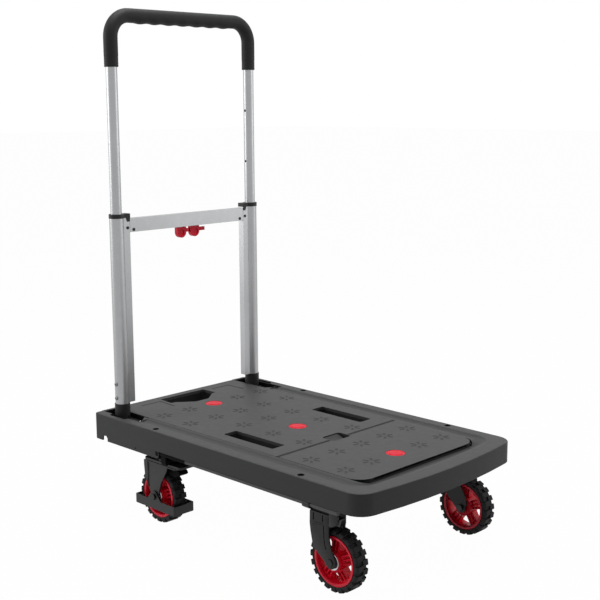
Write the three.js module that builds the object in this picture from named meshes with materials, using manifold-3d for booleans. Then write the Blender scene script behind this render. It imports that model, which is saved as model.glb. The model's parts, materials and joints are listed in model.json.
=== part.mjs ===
// A folding platform cart: moulded deck with a storage lid, telescoping fold-down handle,
// two fixed and two swivel casters that fold away under the deck, and a release bar on each side.
// Millimetres, +Z up, +X to the front, the handle at -X; the floor is z = 0 under the deck's middle.
import * as THREE from "three";
import { mergeVertices } from "three/addons/utils/BufferGeometryUtils.js";
import Module from "manifold-3d";

const wasm = await Module();
wasm.setup();

// ---------------------------------------------------------------- driving dimensions
const SIDES = { left: -1, right: 1 };

const fit = { still: 0.3, moving: 0.5, bore: 0.4 };

const deck = {
  rear: -417.5,
  front: 417.5,
  half: 242.5,
  top: 219,
  rearBottom: 159,
  sideBottom: 175.4,
  wall: 3.5,
  bow: 1400,
  frontRadius: 40,
  rearRadius: 8,
  roof: 208,
  ledge: 212,
  rearWall: 6.5,
};

const panel = { front: 347, half: 183, radius: 27, bearing: 12 };

const groove = { floor: 209.8, shelf: 214.8, shelfWide: 11, rear: -288, front: 381, half: 212.5 };

const slot = { front: -288, inner: 184, outer: 221, floor: 183, wall: 3.5, bottom: 176 };

const grab = { rear: -68, front: 76, inner: 117.5, outer: 152, radius: 10 };

const well = { rear: 135, front: 335, half: 170, floor: 190, wall: 3.5 };

const lid = { seam: 123, gap: 1, skin: 3, rim: 3, pinX: 342.5, pinZ: 214.5, pin: 1.5, roll: 4.5, lug: 150, lugWide: 7 };

const hinge = { floor: 208.1, sole: 204, half: 172 };

const notch = { rear: 96.5, front: 134, half: 27, floor: 204.5 };

const cap = { radius: 20, seats: { rear: -278, middle: 0, front: 278 }, seat: 216, proud: 0.3 };

const rimScrew = { radius: 6.2, depth: 4, xs: [-208, 235], y: 229.5 };

const post = {
  x: -363,
  y: 202.5,
  radius: 16,
  bore: 13.3,
  foot: 244,
  top: 666.5,
  finTip: 172,
  fin: 16,
  wall: 2,
};

const foot = { radius: 17.5, half: 17, pinX: -326, pinZ: 198.5, pin: 5, eye: 9, blockTop: 208, spigot: 295 };

const collar = { height: 9, proud: 1, tab: 9 };

const crossbar = { bottom: 633.5, top: 664.5, end: 171.5, wall: 2, plug: 158 };

const tube = { radius: 12.5, wall: 1.6, bottom: 548, top: 1107, bend: 48, hole: 3.2, holes: [777, 899] };

const grip = { radius: 15.7, end: 996 };

const pull = { top: 632.6, bottom: 607.5, inner: 7, wide: 26, thick: 11, rod: 3, rodZ: 650, travel: 6 };

const wheel = { radius: 62.5, y: 203.5, half: 16, front: 309.5, rear: -219.5, lugs: 20, lug: 3.2 };

const rim = { seat: 44.2, lip: 50, hub: 22, dish: 5, spokes: 5, bearing: 14, sleeve: 9 };

const axle = { radius: 4, head: 7.5, headHigh: 3.6 };

const fold = { y: 172, z: 153.5, pin: 2.5, barrel: 4.5, plateLow: 152, plateHigh: 155, outer: 228, ear: 4 };

const bracket = {
  low: 160,
  high: 163,
  inner: 165,
  outer: 229,
  stop: 155.3,
  front: { rear: 250, front: 322, earRear: 250, earFront: 268 },
  back: { rear: -262, front: -150, earRear: -195, earFront: -187 },
};

const frontFork = { rear: 256.5, front: 307, inner: 180, outer: 228, sheet: 3, crease: 127, tabFront: 336 };

const swivel = { x: -200, race: 22.5, raceLow: 140.3, split: 141, head: 146.4, crownLow: 137, half: 24.5, pin: 5 };

const rearFork = { rear: -256, front: -145, sheet: 3 };

const brake = { rear: -286.5, front: -148.5, half: 28, inside: 25.2, low: 34, high: 54.5, wall: 2.5 };

const bar = { y: 237, z: 170.4, radius: 4.5, rear: -195, front: 338, hooks: { rear: [-182, -166], front: [315, 338] } };

// ---------------------------------------------------------------- finishes
const finish = {
  deckGrey: [0x5d5d5f, 0.72, 0.0],
  lidGrey: [0x5f5f61, 0.72, 0.0],
  barGrey: [0x46464a, 0.6, 0.0],
  black: [0x1b1b1d, 0.55, 0.0],
  blackSteel: [0x1e1e20, 0.45, 0.6],
  grip: [0x161617, 0.8, 0.0],
  rubber: [0x141415, 0.85, 0.0],
  red: [0xd0183c, 0.42, 0.0],
  aluminium: [0xb4b6b9, 0.32, 0.95],
  zinc: [0xa9abad, 0.35, 0.9],
};

// ---------------------------------------------------------------- solid helpers
// A closed three.js geometry as a solid that others can be added to or cut from.
function solid(geometry) {
  const loose = geometry.index ? geometry.toNonIndexed() : geometry;
  const bare = new THREE.BufferGeometry();
  bare.setAttribute("position", loose.getAttribute("position"));
  const merged = mergeVertices(bare, 1e-4);
  const index = merged.index.array;
  const kept = [];
  for (let i = 0; i < index.length; i += 3) {
    const [a, b, c] = [index[i], index[i + 1], index[i + 2]];
    if (a !== b && b !== c && a !== c) kept.push(a, b, c);
  }
  const vertProperties = merged.attributes.position.array;
  const made = new wasm.Manifold(
    new wasm.Mesh({ numProp: 3, vertProperties, triVerts: new Uint32Array(kept) }),
  );
  return made;
}

const join = (...list) => list.reduce((a, b) => a.add(b));
const cut = (body, ...tools) => tools.reduce((a, b) => a.subtract(b), body);
const common = (a, b) => a.intersect(b);

// A box between two corners, given as [low, high] pairs in any order.
function box(xs, ys, zs) {
  const spans = [xs, ys, zs].map(([a, b]) => Math.abs(b - a));
  const mids = [xs, ys, zs].map(([a, b]) => (a + b) / 2);
  return solid(new THREE.BoxGeometry(...spans).translate(...mids));
}

function shapeOf(points, holes = []) {
  const shape = new THREE.Shape(points.map(([a, b]) => new THREE.Vector2(a, b)));
  shape.holes = holes.map((h) => new THREE.Path(h.map(([a, b]) => new THREE.Vector2(a, b))));
  return shape;
}

function extruded(points, holes, depth) {
  return new THREE.ExtrudeGeometry(shapeOf(points, holes), { depth, bevelEnabled: false, steps: 1 });
}

// An outline in (x, y) drawn up from one height to another.
function upright(points, [z0, z1], holes = []) {
  return solid(extruded(points, holes, z1 - z0).translate(0, 0, z0));
}

// An outline in (x, z) drawn across from one y to another.
function across(points, ys, holes = []) {
  const [y0, y1] = [Math.min(...ys), Math.max(...ys)];
  return solid(extruded(points, holes, y1 - y0).rotateX(Math.PI / 2).translate(0, y1, 0));
}

// An outline in (y, z) drawn along from one x to another.
function along(points, [x0, x1], holes = []) {
  const turn = new THREE.Matrix4().makeBasis(
    new THREE.Vector3(0, 1, 0),
    new THREE.Vector3(0, 0, 1),
    new THREE.Vector3(1, 0, 0),
  );
  return solid(extruded(points, holes, x1 - x0).applyMatrix4(turn).translate(x0, 0, 0));
}

// A profile of [radius, height] points turned about an axis through a centre.
function turned(profile, axis, [x, y, z], segments = 24) {
  let area = 0;
  profile.forEach(([r, h], i) => {
    const [r2, h2] = profile[(i + 1) % profile.length];
    area += r * h2 - r2 * h;
  });
  const ordered = area > 0 ? profile : [...profile].reverse();
  const closed = ordered[0][0] === 0 ? ordered : [...ordered, ordered[0]];
  const geometry = new THREE.LatheGeometry(
    closed.map(([r, h]) => new THREE.Vector2(r, h)),
    segments,
  );
  if (axis === "z") geometry.rotateX(Math.PI / 2);
  if (axis === "x") geometry.rotateZ(-Math.PI / 2);
  return solid(geometry.translate(x, y, z));
}

// A plain round bar along an axis; the span is measured along that axis from the centre given.
function round(axis, centre, radius, span, segments = 20) {
  const [from, to] = [Math.min(...span), Math.max(...span)];
  const profile = [
    [0, from],
    [radius, from],
    [radius, to],
    [0, to],
  ];
  return turned(profile, axis, centre, segments);
}

// Points of an arc, both ends included, in degrees.
function arc([cx, cy], radius, from, to, steps) {
  const points = [];
  for (let i = 0; i <= steps; i++) {
    const a = THREE.MathUtils.degToRad(from + ((to - from) * i) / steps);
    points.push([cx + radius * Math.cos(a), cy + radius * Math.sin(a)]);
  }
  return points;
}

// A polygon with each corner rounded by its own radius.
function rounded(points, radii, steps = 4) {
  const list = [];
  points.forEach((p, i) => {
    const radius = Array.isArray(radii) ? radii[i] : radii;
    const here = new THREE.Vector2(...p);
    const back = new THREE.Vector2(...points[(i + points.length - 1) % points.length]).sub(here).normalize();
    const next = new THREE.Vector2(...points[(i + 1) % points.length]).sub(here).normalize();
    if (!radius) {
      list.push(p);
      return;
    }
    const half = Math.acos(THREE.MathUtils.clamp(back.dot(next), -1, 1)) / 2;
    const reach = radius / Math.tan(half);
    const start = here.clone().addScaledVector(back, reach);
    const end = here.clone().addScaledVector(next, reach);
    const middle = here.clone().addScaledVector(back.clone().add(next).normalize(), radius / Math.sin(half));
    const a0 = Math.atan2(start.y - middle.y, start.x - middle.x);
    let a1 = Math.atan2(end.y - middle.y, end.x - middle.x);
    if (a1 - a0 > Math.PI) a1 -= 2 * Math.PI;
    if (a0 - a1 > Math.PI) a1 += 2 * Math.PI;
    for (let k = 0; k <= steps; k++) {
      const a = a0 + ((a1 - a0) * k) / steps;
      list.push([middle.x + radius * Math.cos(a), middle.y + radius * Math.sin(a)]);
    }
  });
  return list;
}

// A solid through a stack of outlines with the same number of points, from low to high.
function loft(layers) {
  const count = layers[0].points.length;
  const positions = [];
  const index = [];
  layers.forEach(({ z, points }) => points.forEach(([x, y]) => positions.push(x, y, z)));
  for (let k = 0; k + 1 < layers.length; k++) {
    for (let i = 0; i < count; i++) {
      const j = (i + 1) % count;
      const [a, b, c, d] = [k * count + i, k * count + j, (k + 1) * count + i, (k + 1) * count + j];
      index.push(a, b, d, a, d, c);
    }
  }
  const flat = (points) => points.map(([x, y]) => new THREE.Vector2(x, y));
  const top = (layers.length - 1) * count;
  THREE.ShapeUtils.triangulateShape(flat(layers[0].points), []).forEach(([a, b, c]) => index.push(a, c, b));
  THREE.ShapeUtils.triangulateShape(flat(layers[layers.length - 1].points), []).forEach(([a, b, c]) =>
    index.push(top + a, top + b, top + c),
  );
  const geometry = new THREE.BufferGeometry();
  geometry.setAttribute("position", new THREE.BufferAttribute(new Float32Array(positions), 3));
  geometry.setIndex(index);
  return solid(geometry);
}

const cart = new THREE.Group();
cart.name = "folding_platform_cart";

// Puts a finished solid into the cart as its own named mesh.
function add(name, body, [color, roughness, metalness]) {
  const mesh = body.getMesh();
  const geometry = new THREE.BufferGeometry();
  geometry.setAttribute("position", new THREE.BufferAttribute(new Float32Array(mesh.vertProperties), 3));
  geometry.setIndex(new THREE.BufferAttribute(new Uint32Array(mesh.triVerts), 1));
  geometry.computeVertexNormals();
  const made = new THREE.Mesh(geometry, new THREE.MeshStandardMaterial({ color, roughness, metalness }));
  made.name = name;
  cart.add(made);
}

// ---------------------------------------------------------------- deck
// The plan of the deck or of anything that follows its edge: straight sides, a bowed front.
function platePlan({ rear, front, half, bow, frontRadius, rearRadius }, steps = { corner: 5, bow: 6, rear: 2 }) {
  const slope = Math.atan((half - frontRadius) / bow);
  const tangent = half - frontRadius + frontRadius * Math.sin(slope);
  const centre = [front - tangent ** 2 / (2 * bow) - frontRadius * Math.cos(slope), half - frontRadius];
  const degrees = THREE.MathUtils.radToDeg(slope);
  const half1 = arc([rear + rearRadius, -half + rearRadius], rearRadius, 180, 270, steps.rear);
  const half2 = arc([centre[0], -centre[1]], frontRadius, -90, -degrees, steps.corner);
  const bowed = [];
  for (let i = 1; i < steps.bow; i++) {
    const y = -tangent + (2 * tangent * i) / steps.bow;
    bowed.push([front - y ** 2 / (2 * bow), y]);
  }
  const half3 = arc(centre, frontRadius, degrees, 90, steps.corner);
  const half4 = arc([rear + rearRadius, half - rearRadius], rearRadius, 90, 180, steps.rear);
  return [...half1, ...half2, ...bowed, ...half3, ...half4];
}

// The deck's own plan, drawn in by an inset.
function deckPlan(inset) {
  return platePlan({
    rear: deck.rear + inset,
    front: deck.front - inset,
    half: deck.half - inset,
    bow: deck.bow,
    frontRadius: deck.frontRadius - inset,
    rearRadius: deck.rearRadius - Math.min(inset, deck.rearRadius - 1),
  });
}

// A rectangle from a rear to a front line, rounded.
function oblong(rear, front, y0, y1, radius, steps = 3) {
  const [low, high] = [Math.min(y0, y1), Math.max(y0, y1)];
  return rounded(
    [
      [rear, low],
      [front, low],
      [front, high],
      [rear, high],
    ],
    radius,
    steps,
  );
}

const handHole = (grow) =>
  rounded(
    [
      [-392 - grow, -66 - grow],
      [-359 + grow * 0.4, -67 - grow],
      [-321 + grow, -20 - grow * 0.4],
      [-321 + grow, 20 + grow * 0.4],
      [-359 + grow * 0.4, 67 + grow],
      [-392 - grow, 66 + grow],
    ],
    10 + grow,
    3,
  );

const panelPlan = (rear, grow) =>
  rounded(
    [
      [rear, -panel.half - grow],
      [panel.front + grow, -panel.half - grow],
      [panel.front + grow, panel.half + grow],
      [rear, panel.half + grow],
    ],
    [0, panel.radius, panel.radius, 0],
    5,
  );

// The groove round the raised panel: shallow with a crease along the sides, a deep cove at the front.
function grooveCutter() {
  const ring = (side, front) =>
    platePlan(
      {
        rear: groove.rear,
        front: groove.front - front,
        half: groove.half - side,
        bow: deck.bow,
        frontRadius: 46 - side,
        rearRadius: 0.5,
      },
      { corner: 5, bow: 6, rear: 1 },
    );
  const pan = loft([
    { z: groove.floor, points: ring(20, 30) },
    { z: groove.floor + 1.6, points: ring(18, 26) },
    { z: groove.floor + 3.6, points: ring(16, 20) },
    { z: groove.floor + 6.2, points: ring(12, 10) },
    { z: groove.floor + 8.3, points: ring(4, 2.5) },
    { z: deck.top, points: ring(0, 0) },
    { z: deck.top + 2, points: ring(-1, -1) },
  ]);
  const shelfPlan = (grow) =>
    oblong(groove.rear - 9, panel.front - 14, -panel.half - grow, panel.half + grow, 22 + grow, 4);
  const shelf = loft([
    { z: groove.floor - 5, points: shelfPlan(groove.shelfWide) },
    { z: groove.shelf, points: shelfPlan(groove.shelfWide) },
    { z: deck.top - 1.6, points: shelfPlan(2) },
    { z: deck.top - 1.5, points: shelfPlan(0) },
  ]);
  return cut(pan, upright(panelPlan(deck.rear - 5, 0), [groove.floor - 5, deck.top + 5]), shelf);
}

// The frame of the deck: rim, skirt, the ledges the panel and the lid rest on, and the hinge lugs.
function makeDeckFrame() {
  const outer = loft([
    { z: deck.rearBottom, points: deckPlan(0) },
    { z: deck.top - 2.6, points: deckPlan(0) },
    { z: deck.top - 0.8, points: deckPlan(0.8) },
    { z: deck.top, points: deckPlan(2.6) },
  ]);
  const wide = [-deck.half - 5, deck.half + 5];
  const lowSide = across(
    [
      [-212, 150],
      [-212, deck.rearBottom],
      [-200, 171],
      [-196, deck.sideBottom],
      [deck.front + 5, deck.sideBottom],
      [deck.front + 5, 150],
    ],
    wide,
  );
  const ledgeIn = panel.half - panel.bearing;
  const panelRear = deck.rear + deck.rearWall;
  const high = deck.top + 10;
  let body = cut(outer, lowSide, upright(deckPlan(deck.wall), [150, deck.roof]));
  const crossMember = box([notch.rear - 4, well.rear], [-ledgeIn - 1, ledgeIn + 1], [notch.floor - 3, deck.ledge]);
  const hingeSole = box([lid.pinX - 10, lid.pinX + 14], [-hinge.half - 3, hinge.half + 3], [hinge.sole, hinge.floor]);
  body = cut(body, box([panelRear + panel.bearing, notch.rear - 4], [-ledgeIn, ledgeIn], [150, high]));
  body = join(body, crossMember, hingeSole);
  const cuts = [
    grooveCutter(),
    upright(panelPlan(panelRear, fit.still), [deck.ledge, high]),
    common(
      box([lid.pinX - 6, lid.pinX + 10], [-hinge.half, hinge.half], [hinge.floor, high]),
      upright(panelPlan(lid.seam, 1.9), [hinge.floor, high]),
    ),
    box([well.rear, well.front], [-well.half, well.half], [150, high]),
    upright(oblong(notch.rear, well.rear + 3, -notch.half, notch.half, 8), [notch.floor, high]),
  ];
  for (const side of Object.values(SIDES)) {
    cuts.push(
      box([deck.rear - 5, slot.front], [side * slot.inner, side * slot.outer], [slot.floor, high]),
      upright(oblong(-377, -318, side * 215, side * 232, 8, 2), [deck.top - 4, high]),
      across(
        [
          [-388, 150],
          [-370, 150],
          [-370, 166],
          [-374, 171],
          [-384, 171],
          [-388, 166],
        ],
        [side * 230, side * 250],
      ),
      round("y", [-266, 0, 166], 2, [side * 230, side * 250], 8),
    );
    for (const x of rimScrew.xs) {
      cuts.push(round("z", [x, side * rimScrew.y, 0], rimScrew.radius, [deck.top - rimScrew.depth, high], 12));
    }
  }
  body = cut(body, ...cuts);
  // Each lug is round about the pin, so that the lid's rebate swings clear of it.
  const lugs = Object.values(SIDES).map((side) => {
    const span = [side * lid.lug, side * (lid.lug + lid.lugWide)];
    return cut(
      join(
        box([lid.pinX - 2.6, lid.pinX + 1.4], span, [hinge.floor - 1, lid.pinZ]),
        round("y", [lid.pinX, 0, lid.pinZ], 2.7, span, 16),
      ),
      round("y", [lid.pinX, 0, lid.pinZ], lid.pin + fit.still, [side * 140, side * 165], 12),
    );
  });
  add("deck", join(body, ...lugs), finish.deckGrey);
}

// The raised panel that is set into the frame and carries the load.
function makeDeckPanel() {
  const low = deck.ledge + fit.still;
  const rear = deck.rear + deck.rearWall + fit.still;
  const grabPlan = (side, grow) =>
    oblong(
      grab.rear - grow,
      grab.front + grow,
      side * (grab.inner - grow),
      side * (grab.outer + grow),
      grab.radius + grow,
    );
  const plate = box([rear, lid.seam - lid.gap / 2], [-panel.half, panel.half], [low, deck.top]);
  const high = deck.top + 10;
  const cuts = [
    upright(handHole(0), [150, high]),
    upright(oblong(notch.rear, well.rear + 3, -notch.half, notch.half, 8), [150, high]),
    round("z", [cap.seats.rear, 0, 0], cap.radius + fit.still, [cap.seat, high], 24),
    round("z", [cap.seats.middle, 0, 0], cap.radius + fit.still, [cap.seat, high], 24),
  ];
  for (const side of Object.values(SIDES)) {
    cuts.push(upright(grabPlan(side, 0), [150, high]));
    const footRoom = [side * (post.y - foot.half - 1), side * (panel.half + 5)];
    cuts.push(box([rear - 1, slot.front], footRoom, [150, high]));
  }
  add("deck_panel", cut(plate, ...cuts), finish.deckGrey);
}

// The storage tray that hangs under the lid.
function makeTray() {
  const top = deck.roof - fit.still;
  const outerX = [well.rear - well.wall, well.front + well.wall];
  const outerY = [-well.half - well.wall, well.half + well.wall];
  const tray = cut(
    box(outerX, outerY, [well.floor - 3, top]),
    box([well.rear, well.front], [-well.half, well.half], [well.floor, top + 5]),
    box([lid.pinX - 10 - fit.still, lid.pinX + 20], [-200, 200], [hinge.sole - fit.still, top + 5]),
    box([well.rear - 10, well.rear], [-200, 200], [notch.floor - 3 - fit.still, top + 5]),
  );
  add("storage_tray", tray, finish.deckGrey);
}

// The beam under the rear of the deck, with a socket under each slot for the handle's pivot pins.
function makeSocketBeam() {
  const top = deck.roof - fit.still;
  const rear = deck.rear + deck.wall + fit.still;
  const parts = [box([rear, rear + 11], [-slot.inner, slot.inner], [slot.bottom, slot.bottom + 10])];
  const cuts = [];
  for (const side of Object.values(SIDES)) {
    const ys = [side * (slot.inner - slot.wall), side * (slot.outer + slot.wall)];
    parts.push(box([rear, slot.front + slot.wall], ys, [slot.bottom, top]));
    cuts.push(
      box([deck.rear - 5, slot.front], [side * slot.inner, side * slot.outer], [slot.floor, top + 5]),
      round("y", [foot.pinX, 0, foot.pinZ], foot.pin + fit.still, [side * 170, side * 235], 12),
    );
  }
  add("handle_socket_beam", cut(join(...parts), ...cuts), finish.blackSteel);
}

makeDeckFrame();
makeDeckPanel();
makeTray();
makeSocketBeam();

// ---------------------------------------------------------------- storage lid and caps
function makeLid() {
  const low = deck.ledge + fit.bore;
  let body = cut(
    upright(panelPlan(lid.seam + lid.gap / 2, 0), [low, deck.top]),
    upright(oblong(lid.seam + lid.rim, lid.pinX - 7, -panel.half + lid.rim, panel.half - lid.rim, 20), [
      low - 1,
      deck.top - lid.skin,
    ]),
  );
  const stiffeners = [
    box([170, 172.5], [-panel.half + 2, panel.half - 2], [low, deck.top - 2]),
    box([222, 224.5], [-panel.half + 2, panel.half - 2], [low, deck.top - 2]),
    box([lid.seam + 1, lid.pinX - 5], [-91.5, -89], [low, deck.top - 2]),
    box([lid.seam + 1, lid.pinX - 5], [89, 91.5], [low, deck.top - 2]),
    round("z", [cap.seats.front, 0, 0], cap.radius + 3, [low, deck.top - 1], 24),
  ];
  body = join(body, ...stiffeners);
  const nose = cut(
    box([lid.pinX, lid.pinX + 12], [-panel.half - 7, panel.half + 7], [200, lid.pinZ]),
    round("y", [lid.pinX, 0, lid.pinZ], lid.roll, [-panel.half - 12, panel.half + 12]),
  );
  const brow = across(
    [
      [panel.front - 0.8, deck.top + 1],
      [panel.front - 0.8, deck.top],
      [panel.front, deck.top - 0.8],
      [panel.front + 3, deck.top - 0.8],
      [panel.front + 3, deck.top + 1],
    ],
    [-panel.half - 7, panel.half + 7],
  );
  const lidHalf = lid.lug - fit.moving;
  const roll = round("y", [lid.pinX, 0, lid.pinZ], lid.roll, [-lidHalf, lidHalf]);
  body = cut(join(cut(body, nose), roll), brow);
  const cuts = [
    round("y", [lid.pinX, 0, lid.pinZ], lid.pin + fit.bore, [-hinge.half + 2, hinge.half - 2], 12),
    upright(oblong(notch.rear, notch.front, -notch.half, notch.half, 8), [200, 230]),
    round("z", [cap.seats.front, 0, 0], cap.radius + fit.still, [cap.seat, 230], 24),
  ];
  for (const side of Object.values(SIDES)) {
    const lugSpan = [side * (lid.lug - fit.moving), side * (lid.lug + lid.lugWide + fit.moving)];
    cuts.push(box([lid.pinX - 5.5, lid.pinX + 8], lugSpan, [200, lid.pinZ + 3.1]));
  }
  add("storage_lid", cut(body, ...cuts), finish.lidGrey);
  add(
    "lid_hinge_pin",
    round("y", [lid.pinX, 0, lid.pinZ], lid.pin, [-lid.lug - lid.lugWide, lid.lug + lid.lugWide], 12),
    finish.zinc,
  );
}
makeLid();

function makeCaps() {
  const low = cap.seat + fit.still;
  const high = deck.top + cap.proud;
  for (const [place, x] of Object.entries(cap.seats)) {
    const profile = [
      [0, low],
      [cap.radius, low],
      [cap.radius, high - 0.9],
      [cap.radius - 0.9, high - 0.2],
      [cap.radius - 3, high - 0.2],
      [cap.radius - 4, high - 0.6],
      [0, high - 0.6],
    ];
    add(`panel_cap_${place}`, turned(profile, "z", [x, 0, 0], 24), finish.red);
  }
}
makeCaps();

// ---------------------------------------------------------------- handle
function makeFoot(name, side) {
  const centre = [post.x, side * post.y, 0];
  const outline = [
    [post.x - foot.radius, foot.blockTop],
    [post.x - foot.radius, 196],
    [post.x - foot.radius + 8, foot.pinZ - foot.eye],
    ...arc([foot.pinX, foot.pinZ], foot.eye, -90, 90, 10),
    [post.x + foot.radius, foot.pinZ + foot.eye],
    [post.x + foot.radius, foot.blockTop],
  ];
  const body = join(
    across(outline, [side * (post.y - foot.half), side * (post.y + foot.half)]),
    round("z", centre, foot.radius, [foot.blockTop - 8, post.foot - fit.still], 24),
    round("z", centre, post.bore - fit.still - 0.3, [foot.blockTop, foot.spigot], 14),
  );
  const bore = round("y", [foot.pinX, 0, foot.pinZ], foot.pin + fit.bore, [side * 170, side * 240]);
  add(`handle_foot_${name}`, cut(body, bore), finish.black);
  const pin = round("y", [foot.pinX, 0, foot.pinZ], foot.pin, [side * (slot.inner - 2.5), side * (slot.outer + 2.5)]);
  add(`handle_pivot_pin_${name}`, pin, finish.zinc);
}

// The round tube with a fin along its inner side that the lower post, collar and crossbar share.
function postPlan(side, grow) {
  const radius = post.radius + grow;
  const halfFin = post.fin / 2 + grow;
  const tip = post.y - (post.finTip - grow);
  const meet = THREE.MathUtils.radToDeg(Math.asin(halfFin / radius));
  const points = arc([0, 0], radius, -180 + meet, 180 - meet, 20);
  const plan = [...points, [-tip, halfFin], [-tip, -halfFin]];
  // The fin points towards the middle of the cart, along -y on the +y side.
  return plan.map(([a, b]) => [post.x + b * side, side * (post.y + a)]);
}

function makePost(name, side) {
  const centre = [post.x, side * post.y, 0];
  const spigotRoom = [crossbar.bottom + 3, crossbar.bottom + 11];
  const finCore = [
    [post.x - post.fin / 2 + post.wall, post.x + post.fin / 2 - post.wall],
    [side * (post.finTip + post.wall), side * (post.y - post.radius + 0.2)],
  ];
  const sleeve = upright(postPlan(side, 0), [post.foot, post.top]);
  const body = cut(
    sleeve,
    round("z", centre, post.bore, [post.foot - 5, post.top + 5], 24),
    box(...finCore, [post.foot - 5, post.top + 5]),
    round("y", [post.x, 0, pull.rodZ], pull.rod + fit.moving, [side * 160, side * (post.y - 8)], 12),
    box([post.x - 5.8, post.x + 5.8], [side * (post.finTip - 7), side * (post.finTip + 4)], spigotRoom),
  );
  add(`lower_post_${name}`, body, finish.aluminium);
  const fastened = post.top + fit.still;
  const ring = cut(
    upright(postPlan(side, collar.proud), [fastened, fastened + collar.height]),
    round("z", centre, tube.radius + fit.moving, [fastened - 5, fastened + 20], 24),
  );
  // A tapered tab runs a little way down the fin's front face.
  const front = post.x + post.fin / 2;
  const tab = along(
    [
      [side * (post.finTip - collar.proud), fastened + 2],
      [side * (post.finTip + 0.5), fastened - collar.tab],
      [side * (post.finTip + 7), fastened - collar.tab],
      [side * (post.finTip + 11), fastened + 2],
    ],
    [front + fit.still, front + collar.proud],
  );
  add(`post_collar_${name}`, join(ring, tab), finish.black);
}

function makeCrossbar() {
  const half = post.fin / 2;
  const beam = box([post.x - half, post.x + half], [-crossbar.end, crossbar.end], [crossbar.bottom, crossbar.top]);
  const hollow = box(
    [post.x - half + crossbar.wall, post.x + half - crossbar.wall],
    [-crossbar.plug, crossbar.plug],
    [crossbar.bottom + crossbar.wall, crossbar.top - crossbar.wall],
  );
  const parts = [cut(beam, hollow)];
  for (const side of Object.values(SIDES)) {
    const reach = [side * (crossbar.end - 3), side * (post.y - post.radius - 3)];
    parts.push(box([post.x - half + 2.6, post.x + half - 2.6], reach, [crossbar.bottom + 3.5, crossbar.bottom + 10.5]));
  }
  const cuts = [];
  for (const side of Object.values(SIDES)) {
    cuts.push(round("y", [post.x, 0, pull.rodZ], pull.rod + fit.moving, [side * 150, side * 200], 12));
    const neck = [side * (pull.inner + 2 - pull.travel), side * (pull.inner + pull.wide - 2)];
    cuts.push(box([post.x - 3.6, post.x + 3.6], neck, [crossbar.bottom - 2, crossbar.bottom + 5]));
  }
  add("crossbar", cut(join(...parts), ...cuts), finish.aluminium);
}

// The two-bend line of the upper tube, with stations only where the line changes.
class HandleLine extends THREE.Curve {
  constructor(bottom, steps = 6) {
    super();
    const reach = post.y - tube.bend;
    const high = tube.top - tube.bend;
    const bendAt = (side, from, to) =>
      arc([0, 0], tube.bend, from, to, steps).map(([a, b]) => [side * reach + a, high + b]);
    const points = [[-post.y, bottom], ...bendAt(-1, 180, 90), ...bendAt(1, 90, 0), [post.y, bottom]];
    this.points = points.map(([y, z]) => new THREE.Vector3(post.x, y, z));
    this.stations = this.points.length - 1;
  }
  getPoint(t) {
    const place = Math.min(t * this.stations, this.stations - 1e-9);
    const i = Math.floor(place);
    return this.points[i].clone().lerp(this.points[i + 1], place - i);
  }
  getPointAt(t) {
    return this.getPoint(Math.round(t * this.stations) / this.stations);
  }
  getTangentAt(t) {
    const i = Math.round(t * this.stations);
    const before = this.points[Math.max(i - 1, 0)];
    const after = this.points[Math.min(i + 1, this.stations)];
    const ends = i === 0 || i === this.stations;
    const turn = after.clone().sub(before).normalize();
    if (!ends) {
      const a = this.points[i].clone().sub(before).normalize();
      const b = after.clone().sub(this.points[i]).normalize();
      return a.add(b).normalize();
    }
    return turn;
  }
}

function drawn(outer, inner, line, sides) {
  const circle = (r, n) => arc([0, 0], r, 0, 360 - 360 / n, n - 1);
  const shape = shapeOf(circle(outer, sides), [circle(inner, 10)]);
  const options = { steps: line.stations, bevelEnabled: false, extrudePath: line };
  return solid(new THREE.ExtrudeGeometry(shape, options));
}

function makeUpperHandle() {
  let hoop = drawn(tube.radius, tube.radius - tube.wall, new HandleLine(tube.bottom), 16);
  for (const side of Object.values(SIDES)) {
    for (const z of tube.holes) {
      const span = [side * (post.y - tube.radius - 3), side * (post.y - 5)];
      hoop = cut(hoop, round("y", [post.x, 0, z], tube.hole, span, 10));
    }
    const lock = [side * (post.y - tube.radius - 3), side * (post.y - 5)];
    hoop = cut(hoop, round("y", [post.x, 0, pull.rodZ], tube.hole, lock, 10));
  }
  add("upper_handle_tube", hoop, finish.aluminium);

  const cover = drawn(grip.radius, tube.radius + 1, new HandleLine(grip.end), 16);
  const reach = post.y - tube.bend;
  const waves = [];
  for (let i = -3; i <= 3; i++) {
    const y = (i * (reach - 14)) / 3.4;
    const bump = [
      [y - 17, tube.top - grip.radius + 3],
      [y - 8, tube.top - grip.radius - 2.2],
      [y + 8, tube.top - grip.radius - 2.2],
      [y + 17, tube.top - grip.radius + 3],
    ];
    waves.push(along(bump, [post.x - 7, post.x + 7]));
  }
  add("handle_grip", join(cover, ...waves), finish.grip);
}

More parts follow.
